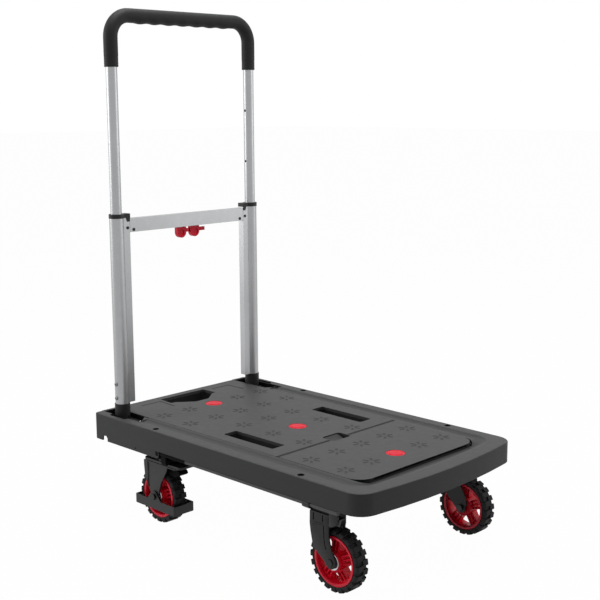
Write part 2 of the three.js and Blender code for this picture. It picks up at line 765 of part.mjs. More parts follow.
// The two red finger pulls under the crossbar, each on its own spring-loaded lock rod.
function makePull(name, side) {
  const near = pull.inner;
  const far = pull.inner + pull.wide;
  const mid = (near + far) / 2;
  const low = pull.bottom;
  const paddle = [
    [near, pull.top],
    [near, low + 13],
    ...arc([mid, low + pull.wide / 2], pull.wide / 2, 180, 360, 10).slice(1, -1),
    [far, low + 13],
    [far, pull.top],
  ].map(([y, z]) => [side * y, z]);
  const half = pull.thick / 2;
  let body = along(paddle, [post.x - half, post.x + half]);
  const dish = round("x", [0, side * (mid + 1), low + 12], 8, [post.x + half - 2, post.x + half + 5], 16);
  const neckEnd = far - 3 - pull.travel;
  const neckSpan = [side * (near + 3), side * neckEnd];
  const neck = join(
    box([post.x - 3, post.x + 3], neckSpan, [pull.top - 3, pull.rodZ - 4]),
    box([post.x - 5.4, post.x + 5.4], neckSpan, [pull.rodZ - 9, pull.rodZ + 7]),
  );
  const tongueZ = [pull.bottom + 12.5, pull.bottom + 21];
  if (side < 0) {
    body = join(body, box([post.x - 2.5, post.x + 2.5], [-near - 1, near - pull.travel - fit.moving], tongueZ));
  } else {
    const slotCut = box([post.x - 3.2, post.x + 3.2], [near - 1, near + 11], [tongueZ[0] - 0.8, tongueZ[1] + 0.8]);
    body = join(cut(body, slotCut), box([post.x - 2.5, post.x + 2.5], [far - 1, 52], tongueZ));
  }
  const rodBore = round("y", [post.x, 0, pull.rodZ], pull.rod + fit.still, [side * 2, side * 60], 12);
  add(`finger_pull_${name}`, cut(join(cut(body, dish), neck), rodBore), finish.red);
  const tip = post.y - tube.radius - fit.still;
  const rod = round("y", [post.x, 0, pull.rodZ], pull.rod, [side * (near + 1), side * (tip + 0.05)], 12);
  add(`lock_rod_${name}`, rod, finish.zinc);
}

// ---------------------------------------------------------------- casters
// Across-the-cart place on a wheel: outward from the wheel's middle plane.
const outward = (side, dy) => side * (wheel.y + dy);

function makeWheel(name, side, x) {
  const centre = [x, side * wheel.y, wheel.radius];
  const half = wheel.half - 0.3;
  const root = wheel.radius - wheel.lug;
  const carcass = turned(
    [
      [rim.seat + fit.still, -13],
      [49.6, -13],
      [53, -15],
      [root - 1, -14],
      [root - 1, 14],
      [53, 15],
      [49.6, 13],
      [rim.seat + fit.still, 13],
    ],
    "y",
    centre,
    20,
  );
  // Two rows of chunky lugs, one row half a pitch on from the other.
  const pitch = 360 / wheel.lugs;
  const tip = wheel.radius / Math.cos(THREE.MathUtils.degToRad(pitch * 0.24));
  const rows = [-1, 1].map((row) => {
    const outline = [];
    for (let i = 0; i < wheel.lugs; i++) {
      const a = (i + (row > 0 ? 0.5 : 0)) * pitch;
      outline.push(...arc([x, wheel.radius], tip, a - pitch * 0.24, a + pitch * 0.24, 1));
      outline.push(...arc([x, wheel.radius], root, a + pitch * 0.3, a + pitch * 0.7, 1));
    }
    const bore = arc([x, wheel.radius], 55.5, 0, 330, 11);
    return across(outline, [side * wheel.y - (row < 0 ? half : 0), side * wheel.y + (row > 0 ? half : 0)], [bore]);
  });
  add(`tyre_${name}`, join(carcass, ...rows), finish.rubber);

  const barrel = turned(
    [
      [rim.seat - 3, -13],
      [rim.lip - 1, -15.5],
      [rim.lip, -13.4],
      [rim.seat, -13.4],
      [rim.seat, 13.4],
      [rim.lip, 13.4],
      [rim.lip - 1, 15.5],
      [rim.seat - 3, 13],
    ],
    "y",
    centre,
    20,
  );
  const hub = turned(
    [
      [rim.sleeve + fit.still, -side * 16],
      [rim.hub - 3, -side * 16],
      [rim.hub, -side * 13],
      [rim.hub, side * 9],
      [rim.hub - 2, side * 10],
      [rim.bearing + 1.5, side * 6],
      [rim.sleeve + fit.still, side * 6],
    ],
    "y",
    centre,
    15,
  );
  const step = 360 / rim.spokes;
  const [r0, r1] = [rim.hub - 1, rim.seat - 2];
  const polar = (r, degrees) => {
    const a = THREE.MathUtils.degToRad(degrees);
    return [x + r * Math.cos(a), wheel.radius + r * Math.sin(a)];
  };
  const spokes = [];
  for (let i = 0; i < rim.spokes; i++) {
    const a = 90 + i * step;
    const outline = [polar(r0, a - 24), polar(r1, a - 17), polar(r1 + 0.6, a), polar(r1, a + 17), polar(r0, a + 24)];
    const slotted = [-1, 1].map((k) => [
      polar(r0 + 4.5, a + k * 4.5),
      polar(r1 - 2.5, a + k * 4),
      polar(r1 - 2.5, a + k * 11),
      polar(r0 + 4.5, a + k * 14.5),
    ]);
    spokes.push(across(outline, [outward(side, -side * rim.dish), outward(side, side * rim.dish)], slotted));
  }
  let wheelBody = join(barrel, ...spokes);
  wheelBody = join(cut(wheelBody, round("y", centre, rim.hub - 2, [-30, 30], 15)), hub);
  add(`rim_${name}`, wheelBody, finish.red);

  const bearing = turned(
    [
      [axle.radius + fit.still, -side * 18.5],
      [rim.sleeve, -side * 18.5],
      [rim.sleeve, side * 6.3],
      [rim.bearing, side * 6.3],
      [rim.bearing, side * 9],
      [rim.sleeve, side * 18.5],
      [axle.radius + fit.still, side * 18.5],
    ],
    "y",
    centre,
    16,
  );
  add(`bearing_${name}`, bearing, finish.zinc);
}

function makeAxle(name, side, x, reach) {
  const centre = [x, side * wheel.y, wheel.radius];
  const hex = (from, to) => {
    const six = arc([x, wheel.radius], axle.head, 0, 300, 5);
    return across(six, [outward(side, from), outward(side, to)]);
  };
  const shaft = round("y", centre, axle.radius, [-side * reach.inner, side * reach.outer], 12);
  add(
    `axle_${name}`,
    join(shaft, hex(reach.outer, reach.outer + axle.headHigh), hex(-reach.inner, -reach.inner - axle.headHigh)),
    finish.blackSteel,
  );
}

function makeBracket(name, side, place, pinNode) {
  const [x0, x1] = [place.rear, place.front];
  const parts = [
    box([x0, x1], [side * bracket.inner, side * bracket.outer], [bracket.low, bracket.high]),
    box([x0, x1], [side * 221, side * 224], [bracket.stop, bracket.low + 1]),
  ];
  // Two risers carry the bracket under the deck's frame.
  for (const x of [x0 + 12, x1 - 12]) {
    const span = [side * (well.half + well.wall + 2), side * (bracket.outer - 6)];
    parts.push(box([x - 2, x + 2], span, [bracket.low + 1, deck.roof - fit.still]));
  }
  for (const x of [x0, x1 - fold.ear]) {
    parts.push(
      along(
        [
          [side * (fold.y - 6), bracket.low + 1],
          ...arc([fold.y, fold.z], 5, 190, 350, 6).map(([y, z]) => [side * y, z]),
          [side * (fold.y + 6), bracket.low + 1],
        ],
        [x, x + fold.ear],
      ),
    );
  }
  const cradle = rounded(
    [
      [side * (bracket.outer - 4), bracket.low],
      [side * (bar.y - 2), bracket.low],
      [side * (bar.y + 6), bracket.low + 5],
      [side * (bar.y + 6), bar.z + 4.2],
      [side * (bar.y - 7), bar.z + 4.2],
      [side * (bracket.outer - 4), bracket.high],
    ],
    [0, 3, 3, 1, 0, 0],
    2,
  );
  parts.push(along(cradle, [place.earRear, place.earFront]));
  const bores = [
    round("x", [0, side * fold.y, fold.z], fold.pin + fit.still, [x0 - 5, x1 + 5], 12),
    round("x", [0, side * bar.y, bar.z], bar.radius + fit.bore, [place.earRear - 1, place.earFront + 1], 16),
  ];
  add(`caster_bracket_${name}`, cut(join(...parts), ...bores), finish.blackSteel);
  add(pinNode, round("x", [0, side * fold.y, fold.z], fold.pin, [x0 + 0.5, x1 - 0.5], 12), finish.zinc);
}

// The plate that lies up against the bracket, with its hinge barrel along the inner edge.
function foldPlate(side, plan, barrelSpan) {
  const plate = upright(plan, [fold.plateLow, fold.plateHigh]);
  const barrel = round("x", [0, side * fold.y, fold.z], fold.barrel, barrelSpan, 14);
  const bore = round("x", [0, side * fold.y, fold.z], fold.pin + fit.bore, [barrelSpan[0] - 5, barrelSpan[1] + 5], 12);
  return cut(join(plate, barrel), bore);
}

function makeFrontFork(name, side) {
  const f = frontFork;
  const place = bracket.front;
  const barrelSpan = [place.rear + fold.ear + fit.still, place.front - fold.ear - fit.still];
  const crown = foldPlate(side, oblong(f.rear, f.front, side * fold.y, side * f.outer, 2, 2), barrelSpan);
  const tab = box([f.front - 4, f.tabFront], [side * 214, side * f.outer], [fold.plateLow, fold.plateHigh]);
  const eye = arc([wheel.front, wheel.radius], 12, -150, 20, 6);
  const outline = [
    [f.rear, fold.plateHigh],
    [f.rear, f.crease],
    [265, 93],
    [273, 83],
    ...eye,
    [324, 70],
    [321, 84],
    [f.front, 113],
    [f.front, fold.plateHigh],
  ];
  const blank = across(outline, [side * (f.inner - 1), side * (f.outer + 1)]);
  // Each leg is pressed sheet: the upper part stands a little wider, with a crease between.
  const sheet = (from, to) =>
    along(
      [
        [side * from, fold.plateHigh],
        [side * from, f.crease + 1],
        [side * (from - (to > from ? 1.5 : -1.5)), f.crease - 3],
        [side * (from - (to > from ? 1.5 : -1.5)), 40],
        [side * (to - (to > from ? 1.5 : -1.5)), 40],
        [side * (to - (to > from ? 1.5 : -1.5)), f.crease - 3],
        [side * to, f.crease + 1],
        [side * to, fold.plateHigh],
      ],
      [240, 340],
    );
  const legs = join(
    common(blank, sheet(f.outer - f.sheet, f.outer)),
    common(blank, sheet(f.inner + f.sheet, f.inner)),
  );
  const face = side * (f.outer - 0.9);
  const grooves = [
    box([266, 269.5], [face, side * (f.outer + 2)], [f.crease + 5, fold.plateLow - 5]),
    box([291, 294.5], [face, side * (f.outer + 2)], [f.crease + 5, fold.plateLow - 5]),
    across(
      [
        [284, 120],
        [289, 120],
        [309, 84],
        [304, 84],
      ],
      [side * (f.outer - 2.4), side * (f.outer + 2)],
    ),
  ];
  const hole = round("y", [wheel.front, 0, wheel.radius], axle.radius + fit.still, [side * 170, side * 240], 12);
  add(`front_fork_${name}`, cut(join(crown, tab, legs), ...grooves, hole), finish.black);
}

function makeRearCaster(name, side) {
  const place = bracket.back;
  const barrelSpan = [place.rear + fold.ear + fit.still, place.front - fold.ear - fit.still];
  const plan = rounded(
    [
      [-256, side * fold.y],
      [-160, side * fold.y],
      [-160, side * fold.outer],
      [-256, side * fold.outer],
    ],
    [0, 0, 18, 18],
    5,
  );
  const centre = [swivel.x, side * wheel.y, 0];
  const hole = round("z", centre, swivel.pin + fit.still, [130, 170], 16);
  add(`fold_plate_${name}`, cut(foldPlate(side, plan, barrelSpan), hole), finish.blackSteel);

  const kingpin = turned(
    [
      [0, fold.plateHigh + 4],
      [8, fold.plateHigh + 4],
      [8, fold.plateHigh + fit.still],
      [swivel.pin, fold.plateHigh + fit.still],
      [swivel.pin, fold.plateLow - fit.still],
      [swivel.race, fold.plateLow - fit.still],
      [swivel.race, swivel.split + 2],
      [swivel.race - 2, swivel.split + fit.bore],
      [swivel.pin, swivel.split + fit.bore],
      [swivel.pin, swivel.crownLow - fit.bore],
      [8, swivel.crownLow - fit.bore],
      [8, swivel.crownLow - 5],
      [0, swivel.crownLow - 5],
    ],
    "z",
    centre,
    16,
  );
  const r = rearFork;
  const [y0, y1] = [outward(side, -swivel.half), outward(side, swivel.half)];
  // The swivel head is a plate of the crown's outline that stands just clear of it.
  const head = cut(
    upright(oblong(r.rear, r.front + 15, y0, y1, 8, 3), [swivel.split + fit.bore, swivel.head]),
    round("z", centre, swivel.race - 4, [swivel.split - 1, swivel.head - 1.5], 16),
  );
  add(`swivel_race_${name}`, join(kingpin, head), finish.blackSteel);

  const crown = upright(oblong(r.rear, r.front, y0, y1, 8, 3), [swivel.crownLow, swivel.crownLow + r.sheet]);
  const lowRace = round("z", centre, swivel.race, [swivel.crownLow + 2, swivel.split], 16);
  const eye = arc([wheel.rear, wheel.radius], 12, -190, 20, 6);
  const outline = [
    [r.rear, swivel.crownLow + r.sheet],
    [r.rear, 128],
    [-253, 98],
    [-236, 72],
    ...eye,
    [-206, 72],
    [-198, 96],
    [-178, 128],
    [-174, swivel.crownLow + r.sheet],
  ];
  const leg = (dy) => across(outline, [outward(side, dy), outward(side, dy - Math.sign(dy) * r.sheet)]);
  const legHole = round("y", [wheel.rear, 0, wheel.radius], axle.radius + fit.still, [side * 170, side * 240], 12);
  const legs = cut(join(leg(swivel.half), leg(-swivel.half)), legHole);
  const bore = round("z", centre, swivel.pin + fit.bore, [120, 170], 16);
  add(`swivel_fork_${name}`, cut(join(crown, lowRace, legs), bore), finish.blackSteel);

  const b = brake;
  const across2 = (dy) => [outward(side, -dy), outward(side, dy)];
  const hoop = cut(
    upright(oblong(b.rear, b.front, ...across2(b.half), 4, 2), [b.low, b.high]),
    upright(oblong(b.rear + b.wall, b.front - b.wall, ...across2(b.inside), 2, 2), [b.low - 5, b.high + 5]),
  );
  const earOutline = [
    [wheel.rear - 26, b.high - 3],
    [wheel.rear + 26, b.high - 3],
    ...arc([wheel.rear, wheel.radius], 13, 20, 160, 6),
  ];
  const ear = (dy) => across(earOutline, [outward(side, dy), outward(side, dy - Math.sign(dy) * (b.half - b.inside))]);
  add(`brake_frame_${name}`, cut(join(hoop, ear(b.half), ear(-b.half)), legHole), finish.blackSteel);
}

// The bar under the deck's side edge: turning it outward swings both latch hooks clear.
function makeReleaseBar(name, side) {
  const rod = round("x", [0, side * bar.y, bar.z], bar.radius, [bar.rear, bar.front], 16);
  const hook = ([x0, x1], low) =>
    along(
      [
        [side * (bar.y - 3.5), bar.z],
        [side * (bar.y - 3.5), fold.plateHigh + 0.5],
        [side * (fold.outer + 0.5), fold.plateHigh + 0.5],
        [side * (fold.outer + 0.5), fold.plateLow - 3],
        [side * (bar.y - 5), low],
        [side * (bar.y - 1), low],
        [side * (bar.y + 1.6), low + 8],
        [side * (bar.y + 1.6), bar.z],
      ],
      [x0, x1],
    );
  const front = hook(bar.hooks.front, 143);
  const rear = hook(bar.hooks.rear, 146);
  add(`release_bar_${name}`, join(rod, front, rear), finish.barGrey);
}

for (const [name, side] of Object.entries(SIDES)) {
  makeFoot(name, side);
  makePost(name, side);
  makePull(name, side);
  makeReleaseBar(name, side);
  makeBracket(`front_${name}`, side, bracket.front, `caster_hinge_pin_front_${name}`);
  makeBracket(`rear_${name}`, side, bracket.back, `caster_hinge_pin_rear_${name}`);
  makeFrontFork(name, side);
  makeRearCaster(`rear_${name}`, side);
  makeWheel(`front_${name}`, side, wheel.front);
  makeWheel(`rear_${name}`, side, wheel.rear);
  makeAxle(`front_${name}`, side, wheel.front, { inner: 24, outer: 23.4 });
  makeAxle(`rear_${name}`, side, wheel.rear, { inner: 28.4, outer: 28.4 });
}
makeCrossbar();
makeUpperHandle();

export default cart;
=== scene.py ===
"""Looks for a folding platform cart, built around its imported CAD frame.

Metres, +Z up, +X to the front of the deck, the handle at -X. Numbers that describe the cart's
shape are in millimetres and are scaled by MM where a mesh is made.
"""

import json
import logging
import math
from dataclasses import dataclass, field
from enum import Enum
from typing import Any, Callable, Sequence

import bmesh
import bpy
from mathutils import Matrix, Vector

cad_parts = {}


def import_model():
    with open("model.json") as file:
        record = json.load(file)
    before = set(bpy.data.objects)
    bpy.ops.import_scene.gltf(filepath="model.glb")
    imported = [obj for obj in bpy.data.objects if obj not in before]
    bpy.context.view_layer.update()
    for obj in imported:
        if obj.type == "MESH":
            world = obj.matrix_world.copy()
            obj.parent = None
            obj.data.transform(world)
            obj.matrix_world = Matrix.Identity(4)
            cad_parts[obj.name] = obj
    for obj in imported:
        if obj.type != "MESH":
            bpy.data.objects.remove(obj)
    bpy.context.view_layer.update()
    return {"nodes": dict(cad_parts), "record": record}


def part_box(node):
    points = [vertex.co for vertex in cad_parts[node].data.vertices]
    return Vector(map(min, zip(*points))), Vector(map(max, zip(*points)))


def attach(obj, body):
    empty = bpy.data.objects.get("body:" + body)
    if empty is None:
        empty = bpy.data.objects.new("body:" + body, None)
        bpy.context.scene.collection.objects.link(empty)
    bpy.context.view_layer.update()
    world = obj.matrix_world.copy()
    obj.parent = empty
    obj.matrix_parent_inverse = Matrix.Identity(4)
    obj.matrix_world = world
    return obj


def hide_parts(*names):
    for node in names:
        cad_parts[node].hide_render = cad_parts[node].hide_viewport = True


logging.basicConfig(level=logging.INFO, format="%(message)s")
log = logging.getLogger("cart")

frame: dict[str, Any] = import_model()

MM = 0.001
SAME_SPOT = 1e-6  # Metres within which the vertices of a CAD node are merged.
SAME_POINT = 1e-7  # The same for a turned solid, where its profile touches the axis.
NO_LENGTH = 1e-8  # Metres below which an edge is dropped.
X_AXIS = Vector((1, 0, 0))
Y_AXIS = Vector((0, 1, 0))
Z_AXIS = Vector((0, 0, 1))
SIDES: dict[str, int] = {"left": -1, "right": 1}
ENDS: tuple[str, str] = ("front", "rear")

Pair = tuple[float, float]
Build = Callable[[bmesh.types.BMesh], None]


class Grain(Enum):
    """How far the grain of a surface is stretched along x, y and z."""

    EVEN = (1.0, 1.0, 1.0)
    BRUSHED_Z = (1.0, 1.0, 0.012)
    BRUSHED_Y = (1.0, 0.012, 1.0)


@dataclass(frozen=True)
class Finish:
    """One surface finish, in linear colour.

    Args:
        name: material name.
        colour: base colour as linear RGB.
        roughness: middle roughness.
        metallic: 0 for plastics and rubber, 1 for bare metal.
        grain: the stretch of the surface's grain.
        grain_scale: how many grains go into a metre.
        bump: depth of the grain in metres.
        variation: how far the colour drifts, as a fraction.
        specular: specular level of the shader.
        crease_shade: how much the colour is darkened near walls and in tight corners, as painted shade, 0 to
            1.
        nook: how far from a wall that painted shade still reaches, in metres.
        sink: painted shade that darkens the colour towards the bottom: the heights between which it fades and
            the share left at the lower one.
    """

    name: str
    colour: tuple[float, float, float]
    roughness: float
    metallic: float = 0.0
    grain: Grain = Grain.EVEN
    grain_scale: float = 1500.0
    bump: float = 0.00005
    variation: float = 0.015
    specular: float = 0.5
    crease_shade: float = 0.0
    nook: float = 0.014
    sink: tuple[float, float, float] | None = None


class Finishes:
    """The finishes of the cart, one per kind of surface, with lighter and darker copies of some plastics that
    carry painted light and shade.
    """

    # crease darkens a finish near walls and in tight corners with painted shade.
    DECK = Finish("deck_plastic", (0.053, 0.053, 0.054), 0.5, specular=0.12, crease_shade=0.62)
    LID = Finish("lid_plastic", (0.0535, 0.0535, 0.0545), 0.5, specular=0.12, crease_shade=0.25)
    # The cove's colour carries painted shade: darker towards its floor and near its walls.
    COVE = Finish(
        "cove_plastic", (0.056, 0.056, 0.057), 0.5, specular=0.1, crease_shade=0.5, sink=(0.2119, 0.2178, 0.66)
    )
    # A lighter copy of the lid's plastic: painted light on the lid's front wall.
    LID_WALL_LIGHT = Finish("lid_wall_plastic", (0.06, 0.06, 0.061), 0.5, specular=0.1)
    # A lighter copy of the deck's plastic: painted light in the finger scoop.
    SCOOP_LIGHT = Finish("scoop_plastic", (0.06, 0.06, 0.061), 0.5, specular=0.1)
    BAR = Finish("release_bar_plastic", (0.07, 0.07, 0.072), 0.48, specular=0.3)
    BLACK = Finish("black_nylon", (0.019, 0.019, 0.0195), 0.45, grain_scale=1700, bump=0.00004, specular=0.22)
    GRIP = Finish("grip_rubber", (0.012, 0.012, 0.0125), 0.62, grain_scale=2200, bump=0.00004, specular=0.25)
    TYRE = Finish("tyre_rubber", (0.012, 0.012, 0.0125), 0.7, grain_scale=1600, bump=0.00006, specular=0.22)
    RED = Finish("red_plastic", (0.74, 0.004, 0.03), 0.34, grain_scale=2000, bump=0.00002, specular=0.2)
    RIM = Finish("rim_plastic", (0.78, 0.004, 0.028), 0.38, grain_scale=2000, bump=0.00002, specular=0.15)
    # A lighter copy of the rim's red: painted light on the rim's lips.
    LIP_LIGHT = Finish("rim_lip_plastic", (0.96, 0.012, 0.045), 0.3, grain_scale=2000, bump=0.00002, specular=0.3)
    CAP = Finish("cap_plastic", (0.62, 0.006, 0.024), 0.4, grain_scale=2000, bump=0.00002, specular=0.1)
    POST = Finish(
        "post_aluminium", (0.36, 0.364, 0.37), 0.38, 1.0, Grain.BRUSHED_Z, 900, 0.000012, variation=0.03
    )
    BAR_ALU = Finish(
        "crossbar_aluminium", (0.36, 0.364, 0.37), 0.38, 1.0, Grain.BRUSHED_Y, 900, 0.000012, variation=0.03
    )
    COATED = Finish("black_coat", (0.015, 0.015, 0.0155), 0.42, grain_scale=900, specular=0.32)
    ZINC = Finish(
        "zinc_plate", (0.56, 0.565, 0.57), 0.3, 1.0, grain_scale=700, bump=0.00001, variation=0.1
    )
    BOLT = Finish("black_bolt", (0.02, 0.02, 0.021), 0.35, 0.6, grain_scale=1200, bump=0.00002)
    # A near-black copy of the deck's plastic: painted shade on the walls inside the openings.
    WALL = Finish("deck_wall_plastic", (0.016, 0.016, 0.0163), 0.6, specular=0.08)
    # Near-black of painted shade, for sheets and parts that sit in deep shade.
    SHADE_BLACK = Finish("recess_black", (0.006, 0.006, 0.0062), 0.7, specular=0.05)
    STEEL = Finish(
        "screw_steel", (0.2, 0.202, 0.205), 0.34, 1.0, grain_scale=700, bump=0.00001, variation=0.1
    )
    # A darker copy of the deck's plastic: painted shade in the marks' outlines.
    MARK_SHADE = Finish("mark_plastic", (0.03, 0.03, 0.031), 0.6, specular=0.16)
    # Painted shadow, for the dark lines along the lid's seam and round the hand hole.
    SHADOW = Finish("mark_recess", (0.009, 0.009, 0.0092), 0.62, specular=0.16)


def add_node(tree: Any, kind: str, inputs: dict[Any, Any], **settings: Any) -> Any:
    """Adds a shader or geometry node.

    Args:
        tree: the node tree.
        kind: the node's type.
        inputs: what goes into it, by label or number; a socket is linked, anything else is its value.
        settings: the node's own properties.

    Returns:
        The node.
    """
    node = tree.nodes.new(kind)
    for name, value in settings.items():
        setattr(node, name, value)
    for key, value in inputs.items():
        if isinstance(value, bpy.types.NodeSocket):
            tree.links.new(value, node.inputs[key])
        else:
            node.inputs[key].default_value = value
    return node


def empty_tree(owner: Any) -> Any:
    """Turns a material's or world's nodes on.

    Args:
        owner: the material or world.

    Returns:
        Its node tree, emptied.
    """
    owner.use_nodes = True
    owner.node_tree.nodes.clear()
    return owner.node_tree


class MaterialShop:
    """Builds each finish once, as a node tree in object coordinates.

    BROAD and PATCHES are how many blotches of the two slow patterns go into a metre, SPREAD is how
    far the roughness strays either way, and METAL_BUMP and PLAIN_BUMP are the strengths of the bump.
    """

    BROAD = 9.0
    PATCHES = 55.0
    SPREAD = 0.03
    METAL_BUMP = 0.2
    PLAIN_BUMP = 0.35

    def __init__(self) -> None:
        """Starts with no material made."""
        self._made: dict[str, bpy.types.Material] = {}

    def get(self, finish: Finish) -> bpy.types.Material:
        """Returns the finish's material, building it the first time.

        Args:
            finish: the finish wanted.

        Returns:
            The material.
        """
        if finish.name not in self._made:
            self._made[finish.name] = self._build(finish)
        return self._made[finish.name]

    def _build(self, finish: Finish) -> bpy.types.Material:
        """Builds one finish's material.

        Args:
            finish: the finish.

        Returns:
            The material.
        """
        material = bpy.data.materials.new(finish.name)
        tree = empty_tree(material)
        coords = tree.nodes.new("ShaderNodeTexCoord").outputs["Object"]
        mapping = add_node(tree, "ShaderNodeMapping", {"Scale": finish.grain.value, "Vector": coords})
        fine = self._noise(tree, mapping.outputs["Vector"], finish.grain_scale, 3.0, 0.55)
        broad = self._noise(tree, coords, self.BROAD, 4.0, 0.6)
        patches = self._noise(tree, coords, self.PATCHES, 5.0, 0.65)

        # Colour drifts a little over the piece and in patches where hands and loads rub it.
        drift = self._range(tree, broad, (0.3, 0.7), (1.0 - finish.variation, 1.0 + finish.variation))
        rub = self._range(tree, patches, (0.52, 0.78), (1.0, 1.0 + finish.variation * 1.4))
        amount = self._product(tree, drift, rub)
        # Painted shade: ambient occlusion darkens the colour where walls close in.
        if finish.crease_shade > 0:
            nook = add_node(tree, "ShaderNodeAmbientOcclusion", {"Distance": finish.nook}, samples=8)
            shade_in = self._range(tree, nook.outputs["AO"], (0.35, 1.0), (1.0 - finish.crease_shade, 1.0))
            amount = self._product(tree, amount, shade_in)
        # Painted shade: the colour darkens towards the bottom, between the two heights.
        if finish.sink is not None:
            low, high, share = finish.sink
            parts = add_node(tree, "ShaderNodeSeparateXYZ", {"Vector": coords})
            depth = self._range(tree, parts.outputs["Z"], (low, high), (share, 1.0))
            amount = self._product(tree, amount, depth)
        grey = add_node(tree, "ShaderNodeCombineColor", {"Red": amount, "Green": amount, "Blue": amount})
        colour = tree.nodes.new("ShaderNodeMix")
        colour.data_type = "RGBA"
        colour.blend_type = "MULTIPLY"
        colour.inputs["Factor"].default_value = 1.0
        colour.inputs["A"].default_value = (*finish.colour, 1.0)
        tree.links.new(grey.outputs["Color"], colour.inputs["B"])

        smoother = max(finish.roughness - self.SPREAD, 0.05)
        rougher = min(finish.roughness + self.SPREAD, 1.0)
        strength = self.PLAIN_BUMP if finish.metallic < 0.5 else self.METAL_BUMP
        depth = {"Strength": strength, "Distance": finish.bump, "Height": fine}
        bump = add_node(tree, "ShaderNodeBump", depth)
        shader = add_node(
            tree,
            "ShaderNodeBsdfPrincipled",
            {
                "Base Color": colour.outputs["Result"],
                "Metallic": finish.metallic,
                "Roughness": self._range(tree, patches, (0.35, 0.7), (rougher, smoother)),
                "Specular IOR Level": finish.specular,
                "Normal": bump.outputs["Normal"],
            },
        )
        add_node(tree, "ShaderNodeOutputMaterial", {"Surface": shader.outputs["BSDF"]})
        return material

    @staticmethod
    def _noise(tree: Any, vector: Any, scale: float, detail: float, roughness: float) -> Any:
        """Adds a noise pattern.

        Args:
            tree: the material's tree.
            vector: socket of the coordinates.
            scale: grains in a metre.
            detail: how many octaves.
            roughness: share of the finer octaves.

        Returns:
            The pattern's socket.
        """
        inputs = {"Vector": vector, "Scale": scale, "Detail": detail, "Roughness": roughness}
        return add_node(tree, "ShaderNodeTexNoise", inputs).outputs["Fac"]

    @staticmethod
    def _range(tree: Any, value: Any, source: Pair, target: Pair) -> Any:
        """Maps a value from one range to another, clamped.

        Args:
            tree: the material's tree.
            value: socket of the value.
            source: the range it comes in.
            target: the range it leaves in.

        Returns:
            The mapped value's socket.
        """
        inputs = {"Value": value, "From Min": source[0], "From Max": source[1]}
        inputs |= {"To Min": target[0], "To Max": target[1]}
        return add_node(tree, "ShaderNodeMapRange", inputs).outputs["Result"]

    @staticmethod
    def _product(tree: Any, a: Any, b: Any) -> Any:
        """Multiplies two values.

        Args:
            tree: the material's tree.
            a: one socket.
            b: the other socket.

        Returns:
            The product's socket.
        """
        return add_node(tree, "ShaderNodeMath", {0: a, 1: b}, operation="MULTIPLY").outputs[0]


SHOP = MaterialShop()


# ---------------------------------------------------------------- pieces
def link_object(name: str, data: Any) -> bpy.types.Object:
    """Puts a new object into the scene.

    Args:
        name: its name.
        data: its mesh, camera or light.

    Returns:
        The object.
    """
    made = bpy.data.objects.new(name, data)
    bpy.context.scene.collection.objects.link(made)
    return made


def new_piece(name: str, mesh: bpy.types.Mesh, finish: Finish) -> bpy.types.Object:
    """Makes an object at the origin from a mesh that already sits in place.

    Args:
        name: the piece's name.
        mesh: its mesh, in the cart's frame.
        finish: its finish.

    Returns:
        The new object.
    """
    piece = link_object(name, mesh)
    mesh.materials.clear()
    mesh.materials.append(SHOP.get(finish))
    return piece


def mesh_from(name: str, build: Build, smooth: float = 35.0) -> bpy.types.Mesh:
    """Runs a bmesh builder and returns its mesh with smooth faces and sharp edges by angle.

    Args:
        name: mesh name.
        build: fills an empty bmesh.
        smooth: edges sharper than this many degrees stay sharp.

    Returns:
        The mesh.
    """
    bm = bmesh.new()
    build(bm)
    bmesh.ops.recalc_face_normals(bm, faces=bm.faces)
    mesh = bpy.data.meshes.new(name)
    bm.to_mesh(mesh)
    bm.free()
    shade(mesh, smooth)
    return mesh


def shade(mesh: bpy.types.Mesh, degrees: float) -> None:
    """Shades a mesh smooth and marks the edges sharper than an angle.

    Args:
        mesh: the mesh to shade.
        degrees: the angle above which an edge stays sharp.
    """
    for polygon in mesh.polygons:
        polygon.use_smooth = True
    mesh.set_sharp_from_angle(angle=math.radians(degrees))


def bake(piece: bpy.types.Object) -> None:
    """Turns a piece's live modifiers into plain mesh.

    Args:
        piece: the object whose modifiers are applied.
    """
    depsgraph = bpy.context.evaluated_depsgraph_get()
    mesh = bpy.data.meshes.new_from_object(piece.evaluated_get(depsgraph), depsgraph=depsgraph)
    mesh.name = piece.name
    materials = [slot.material for slot in piece.material_slots]
    piece.modifiers.clear()
    piece.data = mesh
    if not mesh.materials:
        for material in materials:
            mesh.materials.append(material)


def soften(piece: bpy.types.Object, width: float, steps: int, angle: float) -> None:
    """Bevels a piece's sharp edges.

    Args:
        piece: the piece.
        width: bevel width in millimetres.
        steps: bevel segments.
        angle: edges sharper than this many degrees are bevelled.
    """
    bevel = piece.modifiers.new("edges", "BEVEL")
    bevel.width = width * MM
    bevel.segments = steps
    bevel.limit_method = "ANGLE"
    bevel.angle_limit = math.radians(angle)
    bevel.use_clamp_overlap = True
    bake(piece)


def level_normals(piece: bpy.types.Object) -> None:
    """Lets the large faces of a piece set its normals, so that they shade flat up to their edges.

    Args:
        piece: the piece, already shaded smooth.
    """
    level = piece.modifiers.new("normals", "WEIGHTED_NORMAL")
    level.mode = "FACE_AREA"
    level.weight = 60
    level.keep_sharp = True
    bake(piece)


def stand_in(piece: bpy.types.Object, node: str) -> None:
    """Puts a finer piece in a CAD node's place, on the body that the node belongs to.

    Args:
        piece: the finer piece.
        node: the CAD node it stands for.
    """
    bodies = frame["record"]["behaviour"]["bodies"]
    body = next(name for name, nodes in bodies.items() if node in nodes)
    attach(piece, body)
    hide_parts(node)


def plate_zinc(node: str) -> None:
    """Gives a CAD node that stays as it is a zinc surface.

    Args:
        node: the CAD node's name.
    """
    frame["nodes"][node].data.materials[0] = SHOP.get(Finishes.ZINC)


